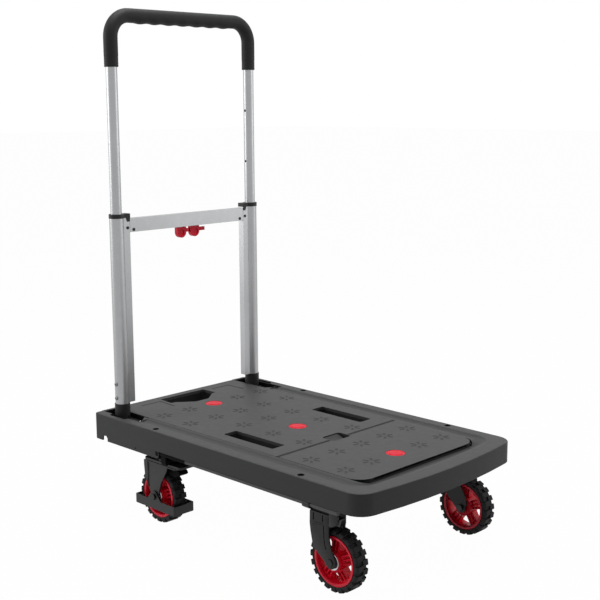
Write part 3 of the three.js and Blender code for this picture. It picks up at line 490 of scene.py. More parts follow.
def refine(
    node: str, finish: Finish, width: float = 0.6, steps: int = 2, angle: float = 34.0, smooth: float = 50.0
) -> bpy.types.Object:
    """Stands a bevelled, smoothly shaded copy in for a CAD node.

    Args:
        node: the CAD node's name.
        finish: the copy's finish.
        width: bevel width in millimetres.
        steps: bevel segments.
        angle: edges sharper than this many degrees are bevelled.
        smooth: edges sharper than this many degrees stay sharp in the shading.

    Returns:
        The piece that replaces the node.
    """
    bm = bmesh.new()
    bm.from_mesh(frame["nodes"][node].data)
    bmesh.ops.remove_doubles(bm, verts=bm.verts, dist=SAME_SPOT)
    flat = math.radians(0.5)
    bmesh.ops.dissolve_limit(bm, angle_limit=flat, verts=bm.verts, edges=bm.edges, delimit={"NORMAL"})
    mesh = bpy.data.meshes.new(f"{node}_fine")
    bm.to_mesh(mesh)
    bm.free()
    piece = new_piece(f"{node}_fine", mesh, finish)
    soften(piece, width, steps, angle)
    shade(piece.data, smooth)
    level_normals(piece)
    stand_in(piece, node)
    log.info("refined %s", node)
    return piece


def cut_out(piece: bpy.types.Object, build: Build, crossing: bool = False, holes: bool = False) -> None:
    """Takes a solid away from a piece.

    Args:
        piece: the piece to cut.
        build: fills an empty bmesh with the closed solid that is taken away.
        crossing: whether the solid or the piece may run through itself.
        holes: whether the piece may have small holes along its bevels.
    """
    cutter = link_object("cutter", mesh_from("cutter", build))
    cut = piece.modifiers.new("cut", "BOOLEAN")
    cut.operation = "DIFFERENCE"
    cut.solver = "EXACT"
    cut.use_self = crossing
    cut.use_hole_tolerant = holes
    cut.object = cutter
    bake(piece)
    bpy.data.objects.remove(cutter)


def carve(piece: bpy.types.Object, build: Build, smooth: float, tolerant: bool = False) -> None:
    """Cuts a solid out of a refined piece and shades it again.

    Args:
        piece: the piece to cut.
        build: fills an empty bmesh with the closed solid that is taken away.
        smooth: edges sharper than this many degrees stay sharp afterwards.
        tolerant: whether the piece may have small holes along its bevels.
    """
    cut_out(piece, build, tolerant, tolerant)
    shade(piece.data, smooth)
    level_normals(piece)


# ---------------------------------------------------------------- solids
def skin(bm: bmesh.types.BMesh, rings: Sequence[Sequence[Any]], closed: bool = True) -> None:
    """Joins each ring of vertices to the next one with four-sided faces.

    Args:
        bm: the mesh being built.
        rings: rings of equally many vertices.
        closed: whether a ring's last vertex is joined to its first.
    """
    count = len(rings[0])
    for one, two in zip(rings, rings[1:]):
        for k in range(count if closed else count - 1):
            j = (k + 1) % count
            bm.faces.new((one[k], one[j], two[j], two[k]))


def capped(bm: bmesh.types.BMesh, rings: Sequence[Sequence[Any]]) -> None:
    """Joins rings of vertices into a closed solid with a flat face at either end.

    Args:
        bm: the mesh being built.
        rings: rings of equally many vertices.
    """
    skin(bm, rings)
    bm.faces.new(rings[0][::-1])
    bm.faces.new(rings[-1])


def rail(bm: bmesh.types.BMesh, lines: Sequence[Sequence[Vector]]) -> None:
    """Adds a solid whose closed section runs along lines that lie beside each other.

    Args:
        bm: the mesh being built.
        lines: the line that each corner of the section follows, in millimetres.
    """
    rows = [[bm.verts.new(p * MM) for p in line] for line in lines]
    skin(bm, rows + rows[:1], closed=False)
    bm.faces.new([row[0] for row in rows][::-1])
    bm.faces.new([row[-1] for row in rows])


def revolve(
    bm: bmesh.types.BMesh, profile: Sequence[Pair], centre: Vector, axis: Vector, steps: int
) -> None:
    """Adds a closed ring or a solid of revolution.

    Args:
        bm: the mesh being built.
        profile: closed loop of (radius, height) in millimetres; heights run along the axis.
        centre: the point the heights are measured from, in metres.
        axis: the axis of revolution.
        steps: segments round the axis.
    """
    place = Matrix.Translation(centre) @ Z_AXIS.rotation_difference(axis).to_matrix().to_4x4()
    loop = [(r * MM, h * MM) for r, h in profile]
    rings: list[list[Any]] = []
    for i in range(steps):
        a = 2 * math.pi * i / steps
        rings.append([bm.verts.new(place @ Vector((r * math.cos(a), r * math.sin(a), h))) for r, h in loop])
    skin(bm, rings + rings[:1])
    bmesh.ops.remove_doubles(bm, verts=bm.verts, dist=SAME_POINT)
    bmesh.ops.dissolve_degenerate(bm, dist=NO_LENGTH, edges=bm.edges)


def prism(bm: bmesh.types.BMesh, outline: Sequence[Vector], drop: Vector) -> None:
    """Adds a prism by drawing an outline along a vector.

    Args:
        bm: the mesh being built.
        outline: points of the closed outline.
        drop: how far and which way it is drawn.
    """
    low = [bm.verts.new(p) for p in outline]
    high = [bm.verts.new(p + drop) for p in outline]
    bm.faces.new(low[::-1])
    bm.faces.new(high)
    skin(bm, [low, high])


def uprights(
    bm: bmesh.types.BMesh, outlines: Sequence[Sequence[Pair]], low: float, high: float, side: int = 1
) -> None:
    """Adds upright prisms.

    Args:
        bm: the mesh being built.
        outlines: their plans as (x, y); y is counted outwards on the side given.
        low: height of their feet.
        high: height of their tops.
        side: -1 or 1.
    """
    for outline in outlines:
        prism(bm, [Vector((x, side * y, low)) * MM for x, y in outline], Vector((0, 0, (high - low) * MM)))


def slab(bm: bmesh.types.BMesh, outline: Sequence[Pair], side: int, near: float, thick: float) -> None:
    """Adds a plate that stands along the cart.

    Args:
        bm: the mesh being built.
        outline: its outline as (x, z).
        side: -1 or 1.
        near: how far its first face is from the cart's middle.
        thick: how far it reaches outwards from there.
    """
    prism(bm, [Vector((x, side * near, z)) * MM for x, z in outline], Vector((0, side * thick * MM, 0)))


def strokes(run: Sequence[Pair], half: float, over: float) -> list[list[Pair]]:
    """The rectangles that lie along a broken line.

    Args:
        run: the line's points.
        half: half the line's width.
        over: how far each rectangle runs on past its stretch.

    Returns:
        The corners of each rectangle.
    """
    boxes = []
    for start, end in zip(run, run[1:]):
        a, b = Vector(start), Vector(end)
        along = (b - a).normalized()
        off = Vector((-along.y, along.x)) * half
        a, b = a - along * over, b + along * over
        boxes.append([tuple(corner) for corner in (a - off, b - off, b + off, a + off)])
    return boxes


def arc(centre: Pair, radius: float, start: float, turn: float, steps: int) -> list[Pair]:
    """Points along an arc.

    Args:
        centre: its middle.
        radius: its radius.
        start: the first point's angle in radians.
        turn: the angle it covers, positive counter-clockwise.
        steps: how many stretches it has.

    Returns:
        The points, one more than the stretches.
    """
    angles = [start + turn * k / steps for k in range(steps + 1)]
    return [(centre[0] + radius * math.cos(a), centre[1] + radius * math.sin(a)) for a in angles]


def swept(
    bm: bmesh.types.BMesh, path: Sequence[Vector], radius: Callable[[int, float], float], steps: int
) -> None:
    """Adds a closed tube solid along a path that lies in a plane of constant x.

    Args:
        bm: the mesh being built.
        path: the points of the middle line.
        radius: radius at a station, given its number and the angle round the tube in radians;
            the angle is 0 towards +X and a quarter turn away from the inside of the bends.
        steps: sides of the tube.
    """
    rings = []
    for i, point in enumerate(path):
        along = (path[min(i + 1, len(path) - 1)] - path[max(i - 1, 0)]).normalized()
        up = along.cross(X_AXIS).normalized()
        ring = []
        for k in range(steps):
            a = 2 * math.pi * k / steps
            r = radius(i, a)
            ring.append(bm.verts.new(point + X_AXIS * (r * math.cos(a)) + up * (r * math.sin(a))))
        rings.append(ring)
    capped(bm, rings)


# ---------------------------------------------------------------- repeats
class Repeats:
    """Geometry Nodes trees that copy one small piece to many places."""

    _trees: dict[str, bpy.types.NodeTree] = {}

    @staticmethod
    def _start(name: str, inputs: dict[str, str]) -> tuple[Any, Any]:
        """Starts a tree with its sockets.

        Args:
            name: the tree's name.
            inputs: the kind of each further input, by its label.

        Returns:
            The tree and its input node.
        """
        tree = bpy.data.node_groups.new(name, "GeometryNodeTree")
        tree.interface.new_socket("Geometry", in_out="INPUT", socket_type="NodeSocketGeometry")
        for label, kind in inputs.items():
            tree.interface.new_socket(label, in_out="INPUT", socket_type=f"NodeSocket{kind}")
        tree.interface.new_socket("Geometry", in_out="OUTPUT", socket_type="NodeSocketGeometry")
        return tree, tree.nodes.new("NodeGroupInput")

    @staticmethod
    def _finish(tree: Any, last: Any, material: Any) -> None:
        """Turns the copies into plain mesh, paints it and closes the tree.

        Args:
            tree: the tree.
            last: socket that holds the copies.
            material: socket of the material.
        """
        real = add_node(tree, "GeometryNodeRealizeInstances", {0: last})
        paint = add_node(tree, "GeometryNodeSetMaterial", {"Geometry": real.outputs[0], "Material": material})
        add_node(tree, "NodeGroupOutput", {"Geometry": paint.outputs[0]})

    @classmethod
    def radial(cls) -> bpy.types.NodeTree:
        """Gives the tree that copies a piece round the Y axis through a wheel's middle.

        Returns:
            The tree, built the first time.
        """
        if "radial" in cls._trees:
            return cls._trees["radial"]
        kinds = {"Count": "Int", "Phase": "Float", "Centre": "Vector", "Material": "Material"}
        tree, given = cls._start("repeat_round_axle", kinds)
        points = add_node(tree, "GeometryNodePoints", {"Count": given.outputs["Count"]})
        index = tree.nodes.new("GeometryNodeInputIndex")
        shares = {0: 2 * math.pi, 1: given.outputs["Count"]}
        step = add_node(tree, "ShaderNodeMath", shares, operation="DIVIDE")
        terms = {0: index.outputs[0], 1: step.outputs[0], 2: given.outputs["Phase"]}
        angle = add_node(tree, "ShaderNodeMath", terms, operation="MULTIPLY_ADD")
        turn = add_node(tree, "ShaderNodeCombineXYZ", {"Y": angle.outputs[0]})
        copy = add_node(
            tree,
            "GeometryNodeInstanceOnPoints",
            {"Points": points.outputs[0], "Instance": given.outputs["Geometry"], "Rotation": turn.outputs[0]},
        )
        move = add_node(
            tree,
            "GeometryNodeTranslateInstances",
            {"Instances": copy.outputs[0], "Translation": given.outputs["Centre"], "Local Space": False},
        )
        cls._finish(tree, move.outputs[0], given.outputs["Material"])
        cls._trees["radial"] = tree
        return tree

    @classmethod
    def scatter(cls) -> bpy.types.NodeTree:
        """Gives the tree that sets a piece on each point of a point mesh.

        Returns:
            The tree, built the first time.
        """
        if "scatter" in cls._trees:
            return cls._trees["scatter"]
        kinds = {"Piece": "Object", "Turn": "Vector", "Material": "Material"}
        tree, given = cls._start("repeat_on_points", kinds)
        info = add_node(tree, "GeometryNodeObjectInfo", {"Object": given.outputs["Piece"]})
        points = add_node(tree, "GeometryNodeMeshToPoints", {"Mesh": given.outputs["Geometry"]})
        copy = add_node(
            tree,
            "GeometryNodeInstanceOnPoints",
            {
                "Points": points.outputs[0],
                "Instance": info.outputs["Geometry"],
                "Rotation": given.outputs["Turn"],
            },
        )
        cls._finish(tree, copy.outputs[0], given.outputs["Material"])
        cls._trees["scatter"] = tree
        return tree


def repeat(piece: bpy.types.Object, tree: bpy.types.NodeTree, inputs: dict[str, Any]) -> None:
    """Runs a piece through a Geometry Nodes tree and keeps the result as its mesh.

    Args:
        piece: the piece.
        tree: the tree.
        inputs: the values of the tree's inputs, by label.
    """
    modifier = piece.modifiers.new("repeat", "NODES")
    modifier.node_group = tree
    sockets = [item for item in tree.interface.items_tree if item.item_type == "SOCKET"]
    keys = {item.name: item.identifier for item in sockets if item.in_out == "INPUT"}
    for label, value in inputs.items():
        modifier[keys[label]] = value
    bake(piece)


def scatter(
    name: str,
    small: bpy.types.Mesh,
    places: Sequence[tuple[float, float, float]],
    finish: Finish,
    body: str,
    turn: tuple[float, float, float] = (0.0, 0.0, 0.0),
) -> None:
    """Sets copies of a small mesh at many places on one body.

    Args:
        name: the piece's name.
        small: the mesh that is copied, standing on its own origin along +Z.
        places: where the copies go.
        finish: their finish.
        body: the CAD body they ride on.
        turn: rotation of every copy, in radians.
    """
    pattern = link_object(f"{name}_pattern", small)
    cloud = bpy.data.meshes.new(name)
    cloud.from_pydata([tuple(v * MM for v in p) for p in places], [], [])
    piece = link_object(name, cloud)
    repeat(piece, Repeats.scatter(), {"Piece": pattern, "Turn": turn, "Material": SHOP.get(finish)})
    bpy.data.objects.remove(pattern)
    shade(piece.data, 35.0)
    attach(piece, body)
    log.info("%s: %d copies", name, len(places))


def repeated_round(
    name: str, part: bpy.types.Mesh, centre: Vector, count: int, finish: Finish, phase: float = 0.0
) -> bpy.types.Object:
    """Copies a part round an axle.

    Args:
        name: the piece's name.
        part: the part, drawn about the origin with the axle along Y.
        centre: the wheel's middle.
        count: how many copies.
        finish: their finish.
        phase: the first copy's angle in radians.

    Returns:
        The piece, baked.
    """
    piece = new_piece(name, part, finish)
    inputs = {"Count": count, "Phase": phase, "Centre": tuple(centre), "Material": SHOP.get(finish)}
    repeat(piece, Repeats.radial(), inputs)
    return piece


def joined(name: str, pieces: Sequence[bpy.types.Object], smooth: float) -> bpy.types.Object:
    """Joins pieces that sit in place into one.

    Args:
        name: name of the result.
        pieces: the pieces, which are used up.
        smooth: edges sharper than this many degrees stay sharp.

    Returns:
        The joined piece.
    """
    bm = bmesh.new()
    for piece in pieces:
        bm.from_mesh(piece.data)
    mesh = bpy.data.meshes.new(name)
    bm.to_mesh(mesh)
    bm.free()
    for material in pieces[0].data.materials:
        mesh.materials.append(material)
    for piece in pieces:
        bpy.data.objects.remove(piece)
    shade(mesh, smooth)
    return link_object(name, mesh)


# ---------------------------------------------------------------- small patterns
def petal_mark() -> bpy.types.Mesh:
    """Makes one anti-slip mark: the moulded outlines of six slim petals round a bare middle.

    Returns:
        Its mesh, flat on the origin.
    """
    petals, points, out = 6, 16, 12.9
    first = math.radians(15)
    levels = ((7.6, 3.5, -0.15), (7.6, 3.5, 0.05), (7.2, 3.1, 0.26), (6.3, 2.3, 0.26), (5.9, 1.9, 0.06))

    def build(bm: bmesh.types.BMesh) -> None:
        """Adds the petals.

        Args:
            bm: the mesh being built.
        """
        for i in range(petals):
            a = 2 * math.pi * i / petals + first
            along = Vector((math.cos(a), math.sin(a), 0))
            side = Vector((-math.sin(a), math.cos(a), 0))
            loops = []
            for long, wide, z in levels:
                loop = []
                for k in range(points):
                    b = 2 * math.pi * k / points
                    spot = along * (out + long * math.cos(b)) + side * (wide * math.sin(b))
                    loop.append(bm.verts.new((spot + Z_AXIS * z) * MM))
                loops.append(loop)
            capped(bm, loops)

    return mesh_from("petal_mark", build, 30.0)


def pan_screw(radius: float, high: float) -> bpy.types.Mesh:
    """Makes a pan-head screw with a cross recess, standing along +Z.

    Args:
        radius: head radius.
        high: head height.

    Returns:
        Its mesh.
    """
    long, wide, lift = radius * 0.55, radius * 0.13, 0.001

    def build(bm: bmesh.types.BMesh) -> None:
        """Adds the head.

        Args:
            bm: the mesh being built.
        """
        dome = [(radius * math.sin(a), high * (0.35 + 0.65 * math.cos(a))) for a in (1.4, 1.1, 0.8, 0.45)]
        profile = [(0.0, -0.2), (radius, -0.2), (radius, high * 0.35), *dome, (0.0, high)]
        revolve(bm, profile, Vector(), Z_AXIS, 28)

    def cross(bm: bmesh.types.BMesh) -> None:
        """Adds the two bars of the recess, one a hair lower than the other.

        Args:
            bm: the mesh being built.
        """
        for x, y, z in ((long, wide, high * 0.45), (wide, long, high * 0.45 - lift)):
            uprights(bm, [[(-x, -y), (x, -y), (x, y), (-x, y)]], z, high * 1.45)

    head = link_object("screw_head", mesh_from("pan_screw", build))
    cut_out(head, cross, crossing=True)
    mesh = head.data
    bpy.data.objects.remove(head)
    return mesh


# ---------------------------------------------------------------- deck
@dataclass
class Deck:
    """The moulded deck, its lid, caps, marks and rim screws.

    Args:
        top: height of the deck's top face.
        bow: radius of the curve of its front edge, seen from above.
        pitch_x: spacing of the anti-slip marks along the cart.
        pitch_y: spacing of the marks across the cart.
        rows: the places of the marks across the cart, for each row along it.
        lid: half width, front and corner radius of the lid.
    """

    top: float = 219.0
    bow: float = 1400.0
    pitch_x: float = 92.7
    pitch_y: float = 75.0
    rows: dict[int, tuple[float, ...]] = field(
        default_factory=lambda: {
            -3: (-2, -1, 1, 2),
            -2: (-2, -1, 0, 1, 2),
            -1: (-1, 0, 1),
            0: (-1, 1),
            1: (-1, 1),
            2: (-2, -1, 0, 1, 2),
            3: (-2, -1, 1, 2),
        }
    )
    lid: tuple[float, float, float] = (183.0, 347.0, 38.0)

    def build(self) -> None:
        """Builds everything that belongs to the deck."""
        body = refine("deck", Finishes.DECK, 0.7)
        panel = refine("deck_panel", Finishes.DECK, 0.6)
        self._groove(body)
        self._handle_wells(body)
        self._longer_openings(panel)
        refine("storage_tray", Finishes.DECK, 0.5)
        refine("handle_socket_beam", Finishes.COATED, 0.5)
        self._opening_walls()
        self._skirt_tails()
        self._lid_front(refine("storage_lid", Finishes.LID, 0.5))
        self._seam()
        self._finger_scoop()
        self._marks()
        self._caps()
        self._screws()
        self._corner_lines()
        plate_zinc("lid_hinge_pin")

    def _loop(
        self, half: float, front: float, radius: float, bow: float, z: Callable[[float], float]
    ) -> list[Vector]:
        """A line round the front of the deck, from the rear of one side to the rear of the other.

        Args:
            half: half its width.
            front: its foremost x.
            radius: its corner radius.
            bow: how much of the deck's front curve it follows, 0 to 1.
            z: its height for a place, given how far that place belongs to the front, 0 to 1.

        Returns:
            The points.
        """
        tilt = math.asin(min(1.0, bow * (half - radius) / self.bow))
        y1 = half - radius + radius * math.sin(tilt)
        cx = front - bow * y1**2 / (2 * self.bow) - radius * math.cos(tilt)
        # The wells' front ends slant, so lines further out than their inner edge start further on.
        well_end, slant, inner_edge, width = -289.3, 1.16, 204, 12.5
        rear = well_end + slant * min(max(half - inner_edge, 0.0), width)
        side = [(rear + (cx - rear) * k / 9, half, 0.0) for k in range(9)]
        corner = arc((cx, half - radius), radius, math.pi / 2, tilt - math.pi / 2, 12)
        turned = [(x, y, k / 12) for k, (x, y) in enumerate(corner)]
        inward = [y1 * (1 - k / 8) for k in range(1, 8)]
        middle = [(front - bow * y**2 / (2 * self.bow), y, 1.0) for y in inward]
        right = side + turned + middle
        points = right + [(front, 0.0, 1.0)] + [(x, -y, w) for x, y, w in reversed(right)]
        return [Vector((x, y, z(w * w * (3 - 2 * w)))) for x, y, w in points]

    def _groove(self, body: bpy.types.Object) -> None:
        """The soft moulded groove round the panel: shallow along the sides, a deep cove at the front.

        Args:
            body: the deck's copy, which the groove is cut into.
        """
        inner = (183.7, 349.4, 30.5, 0.0)
        outer = (216.6, 383.5, 50.0, 1.0)
        cut_inner = (183.7, 350.0, 28.0, 0.0)
        rim, over, clear, sink, thick = 0.85, 222, 1.0, 0.3, 1.6
        levels = (
            (0.0, 218.6, 211.8),
            (0.13, 218.4, 211.8),
            (0.2, 217.6, 212.0),
            (0.28, 216.3, 212.3),
            (0.36, 215.7, 212.8),
            (0.55, 215.4, 214.4),
            (0.72, 215.5, 216.2),
            (0.8, 216.0, 217.0),
            (0.88, 217.2, 217.8),
            (0.94, 218.2, 218.5),
            (1.0, 219.02, 219.02),
        )

        def line(
            t: float, side_z: float, front_z: float, drop: float = 0.0, start: Sequence[float] = inner
        ) -> list[Vector]:
            """A line along the groove.

            Args:
                t: its place across the groove, 0 at the panel and 1 at the deck.
                side_z: its height along the sides.
                front_z: its height at the front.
                drop: how much lower it runs.
                start: the measures of the line at the panel.

            Returns:
                The points.
            """
            sizes = [a + (b - a) * t for a, b in zip(start, outer)]
            return self._loop(*sizes, lambda w: side_z - drop + (front_z - side_z) * w)

        # Short of its outer rim the cut is a little deeper than the liner that lies in it.
        waste = [line(*level, clear if level[0] < rim else 0.0, cut_inner) for level in levels]
        waste += [line(1.02, over, over), line(0.0, over, over, clear, cut_inner)]
        carve(body, lambda bm: rail(bm, waste), 50.0)
        face = [line(*level, sink if level[0] > rim else 0.0) for level in levels[:-1]]
        under = [line(*level, thick) for level in reversed(levels[:-1])]
        # The liner's finish darkens it towards the groove's floor and near its walls as painted shade.
        mesh = mesh_from("groove_liner", lambda bm: rail(bm, face + under), 60.0)
        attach(new_piece("groove_liner", mesh, Finishes.COVE), "deck_body")

    def _handle_wells(self, body: bpy.types.Object) -> None:
        """The wells the handle folds in: a slanted front end, a thin wall behind and a near-black sheet of
        painted shade inside.

        Args:
            body: the deck's copy, which the wells' front ends are cut into.
        """
        foot, lining_top = 184, self.top - 1.2
        nick = [(-289, 204), (-274.5, 216.5), (-274.5, 220.9), (-289, 220.9)]
        fill = [(-306, 184.1), (-288.1, 184.1), (-288.1, 205.5), (-289.6, 204)]
        wall = [(-417.3, 183.6), (-409.6, 183.6), (-409.6, 221.1), (-417.3, 221.1)]
        lining = [
            [(-409.2, 184.15), (-306, 184.15), (-306, 184.9), (-409.2, 184.9)],
            [(-409.2, 220.1), (-288, 220.1), (-288, 220.85), (-409.2, 220.85)],
            [(-409.2, 184.2), (-408.4, 184.2), (-408.4, 220.8), (-409.2, 220.8)],
            [(-306.6, 184.2), (-305.4, 184.2), (-273.9, 220.4), (-275.1, 220.4)],
        ]
        stud = [(0.0, 0.0), (1.5, 0.0), (1.5, 11.2), (0.9, 11.9), (0.0, 12.1)]
        for name, side in SIDES.items():
            carve(body, lambda bm: uprights(bm, [nick], 186, 222, side), 50.0)
            solids = (("end", fill, foot, self.top - 1.4), ("wall", wall, 176, self.top))
            for label, outline, low, high in solids:
                mesh = mesh_from(label, lambda bm: uprights(bm, [outline], low, high, side), 30.0)
                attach(new_piece(f"well_{label}_{name}", mesh, Finishes.DECK), "deck_body")
            # A near-black sheet inside each well stands for its shade: painted shade.
            mesh = mesh_from("lining", lambda bm: uprights(bm, lining, foot, lining_top, side), 30.0)
            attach(new_piece(f"well_lining_{name}", mesh, Finishes.SHADE_BLACK), "deck_body")
            spot = Vector((-290, side * 209, 205)) * MM
            mesh = mesh_from("stud", lambda bm: revolve(bm, stud, spot, Z_AXIS, 20))
            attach(new_piece(f"well_stud_{name}", mesh, Finishes.ZINC), "deck_body")

    def _longer_openings(self, panel: bpy.types.Object) -> None:
        """Opens the slots and the hand hole out to their sharp moulded corners.

        Args:
            panel: the panel's copy.
        """
        outlines = [self._slot(side, 0.0) for side in SIDES.values()] + [self._hand_hole(0.0)]
        carve(panel, lambda bm: uprights(bm, outlines, 200, 230), 50.0)

    @staticmethod
    def _slot(side: int, grow: float) -> list[Pair]:
        """The outline of a long slot.

        Args:
            side: -1 or 1.
            grow: how far it is drawn outwards.

        Returns:
            Points, counter-clockwise.
        """
        rear, front, inner, outer, radius = -71.5 - grow, 79.0 + grow, 117.3 - grow, 154.0 + grow, 4.5 + grow
        y0, y1 = sorted((side * inner, side * outer))
        points = []
        for quarter, (x, y) in enumerate(((front, y1), (rear, y1), (rear, y0), (front, y0))):
            centre = (x - radius if x > 0 else x + radius, y - radius if y == y1 else y + radius)
            points += arc(centre, radius, math.pi / 2 * quarter, math.pi / 2, 6)
        return points

    @staticmethod
    def _hand_hole(grow: float) -> list[Pair]:
        """The outline of the hand hole: a bar across the cart, scooped in on both sides towards the front.

        Args:
            grow: how far it is drawn outwards.

        Returns:
            Points, counter-clockwise.
        """
        half = [
            (-321 + grow, 21 + grow * 0.4, 9),
            (-338 + grow * 0.8, 35 + grow * 0.6, 10),
            (-350 + grow * 0.5, 52 + grow * 0.8, 8),
            (-352 + grow * 0.4, 69.5 + grow, 2.5),
            (-396 - grow, 67 + grow, 4.5),
        ]
        corners = half + [(x, -y, r) for x, y, r in reversed(half)]
        steps = 5
        points = []
        for i, (x, y, radius) in enumerate(corners):
            spot = Vector((x, y))
            before = (Vector(corners[i - 1][:2]) - spot).normalized()
            after = (Vector(corners[(i + 1) % len(corners)][:2]) - spot).normalized()
            half_angle = before.angle(after) / 2
            reach = radius / math.tan(half_angle)
            centre = spot + (before + after).normalized() * (radius / math.sin(half_angle))
            start, end = spot + before * reach - centre, spot + after * reach - centre
            turn = start.angle_signed(end)
            for k in range(steps + 1):
                arm = start.copy()
                arm.rotate(Matrix.Rotation(-turn * k / steps, 2))
                points.append(tuple(centre + arm))
        return points

    def _opening_walls(self) -> None:
        """The moulded walls that run down from the edges of the hand hole and the two long slots, drawn
        near-black as painted shade.
        """
        near, far, high, low = 0.05, 2.6, self.top - 6.8, 186.0
        outlines = {}
        for name, side in SIDES.items():
            outlines[f"slot_wall_{name}"] = (self._slot(side, near), self._slot(side, far))
        outlines["hand_hole_wall"] = (self._hand_hole(near), self._hand_hole(far))
        for label, (inner, outer) in outlines.items():

            def build(bm: bmesh.types.BMesh) -> None:
                """Adds the wall.

                Args:
                    bm: the mesh being built.
                """
                rings = [
                    [bm.verts.new(Vector((x, y, z)) * MM) for x, y in outline]
                    for outline, z in ((inner, high), (outer, high), (outer, low), (inner, low))
                ]
                skin(bm, rings + rings[:1])

            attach(new_piece(label, mesh_from(label, build, 30.0), Finishes.WALL), "deck_body")

    def _seam(self) -> None:
        """Dark strips of painted shadow along the gap where the lid meets the panel, on either side of the
        finger notch.
        """
        notch, reach, low, high = 29.5, 182.6, self.top - 0.6, self.top + 0.15
        strips = (("seam_rear", 118.9, 122.6, "deck_body"), ("seam_front", 123.4, 127.1, "lid"))
        for name, x0, x1, body in strips:

            def build(bm: bmesh.types.BMesh) -> None:
                """Adds the line's two halves.

                Args:
                    bm: the mesh being built.
                """
                for side in SIDES.values():
                    y0, y1 = sorted((side * notch, side * reach))
                    uprights(bm, [[(x0, y0), (x1, y0), (x1, y1), (x0, y1)]], low, high)

            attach(new_piece(name, mesh_from(name, build, 30.0), Finishes.SHADOW), body)

    @staticmethod
    def _finger_scoop() -> None:
        """The hollow under the finger notch, lighter than the deck as painted light."""
        half, thick = 26.6, 1.0
        run = [(97.0, 216.5), (101.0, 213.6), (107.0, 210.4), (115.0, 208.2), (124.0, 207.3), (133.4, 207.0)]
        section = run + [(x, z - thick) for x, z in run[::-1]]
        lines = [[Vector((x, y, z)) for y in (-half, half)] for x, z in section]
        mesh = mesh_from("finger_scoop", lambda bm: rail(bm, lines), 50.0)
        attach(new_piece("finger_scoop", mesh, Finishes.SCOOP_LIGHT), "deck_body")

    def _lid_front(self, cover: bpy.types.Object) -> None:
        """Rounds the lid's front corners off and gives it a smooth front wall, lighter than the lid as
        painted light.

        Args:
            cover: the lid's copy.
        """
        half, front, radius = self.lid
        beyond, thick, tail, high, low = 12, 0.9, 30, 218.2, 211.4
        level = 0.9995
        corner = arc((front - radius, half - radius), radius, 0.0, math.pi / 2, 12)
        for side in SIDES.values():
            waste = [
                *corner,
                (front - radius, half + beyond),
                (front + beyond, half + beyond),
                (front + beyond, half - radius),
            ]
            carve(cover, lambda bm: uprights(bm, [waste], 200, 222, side), 50.0, True)
        # The lid's top is left flat: the normals that the bevels gave it would show as a sheen.
        if "custom_normal" in cover.data.attributes:
            cover.data.attributes.remove(cover.data.attributes["custom_normal"])
        for polygon in cover.data.polygons:
            polygon.use_smooth = abs(polygon.normal.z) < level

        edge = [(front, 0.0), *corner, (front - radius - tail, half)]
        line = [(x, -y) for x, y in reversed(edge[1:])] + edge
        inner = [(x - thick, y * (1 - thick / half)) for x, y in line]
        inner[0], inner[-1] = (line[0][0], inner[0][1]), (line[-1][0], inner[-1][1])
        levels = ((line, high), (line, low), (inner, low), (inner, high))
        lines = [[Vector((x, y, z)) for x, y in points] for points, z in levels]
        mesh = mesh_from("lid_wall", lambda bm: rail(bm, lines), 40.0)
        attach(new_piece("lid_wall", mesh, Finishes.LID_WALL_LIGHT), "lid")

    @staticmethod
    def _skirt_tails() -> None:
        """The skirt's deep rear part runs on past the casters as a thin web in front of the bar's end."""
        outline = [(-216, 176), (-216, 159), (-190, 159), (-186, 162), (-184.5, 166), (-184.5, 176)]
        for name, side in SIDES.items():
            mesh = mesh_from("skirt_tail", lambda bm: slab(bm, outline, side, 242.4, -0.6), 30.0)
            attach(new_piece(f"skirt_tail_{name}", mesh, Finishes.DECK), "deck_body")

    def _marks(self) -> None:
        """Sets the anti-slip marks out in rows, on the panel and on the lid, darker than the deck as painted
        shade in their outlines.
        """
        for body, keys in (("deck_body", (-3, -2, -1, 0, 1)), ("lid", (2, 3))):
            places = [(self.pitch_x * k, self.pitch_y * n, self.top) for k in keys for n in self.rows[k]]
            scatter(f"anti_slip_marks_{body}", petal_mark(), places, Finishes.MARK_SHADE, body)

    @staticmethod
    def _caps() -> None:
        """Turns the three round caps with their raised rims."""
        for place in ("rear", "middle", "front"):
            node = f"panel_cap_{place}"
            low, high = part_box(node)
            centre = Vector(((low[0] + high[0]) / 2, (low[1] + high[1]) / 2, 0))
            base, rise = low[2] / MM, high[2] / MM
            profile = [
                (0.0, base),
                (19.9, base),
                (19.9, rise - 0.9),
                (19.5, rise - 0.3),
                (18.9, rise - 0.05),
                (17.6, rise - 0.05),
                (17.1, rise - 0.55),
                (15.6, rise - 0.6),
                (15.1, rise - 0.2),
                (10.0, rise - 0.08),
                (0.0, rise),
            ]
            mesh = mesh_from(node, lambda bm: revolve(bm, profile, centre, Z_AXIS, 72), 50.0)
            stand_in(new_piece(f"{node}_fine", mesh, Finishes.CAP), node)

    def _screws(self) -> None:
        """Sets a black screw and a near-black sheet into each recess of the rim, both darkened as painted
        shade.
        """
        floor = self.top - 3.9
        places = [(x, y, floor) for x in (-208, 235) for y in (-229.5, 229.5)]
        scatter("rim_screws", pan_screw(4.9, 2.6), places, Finishes.SHADE_BLACK, "deck_body")
        # A near-black sheet inside each recess: painted shade.
        profile = [(4.6, 0.0), (6.15, 0.0), (6.15, 3.7), (7.2, 3.9), (7.2, 4.05), (5.9, 4.0), (5.4, 0.6)]
        profile.append((4.6, 0.6))
        lining = mesh_from("lining", lambda bm: revolve(bm, profile, Vector(), Z_AXIS, 32))
        scatter("rim_screw_linings", lining, places, Finishes.SHADE_BLACK, "deck_body")

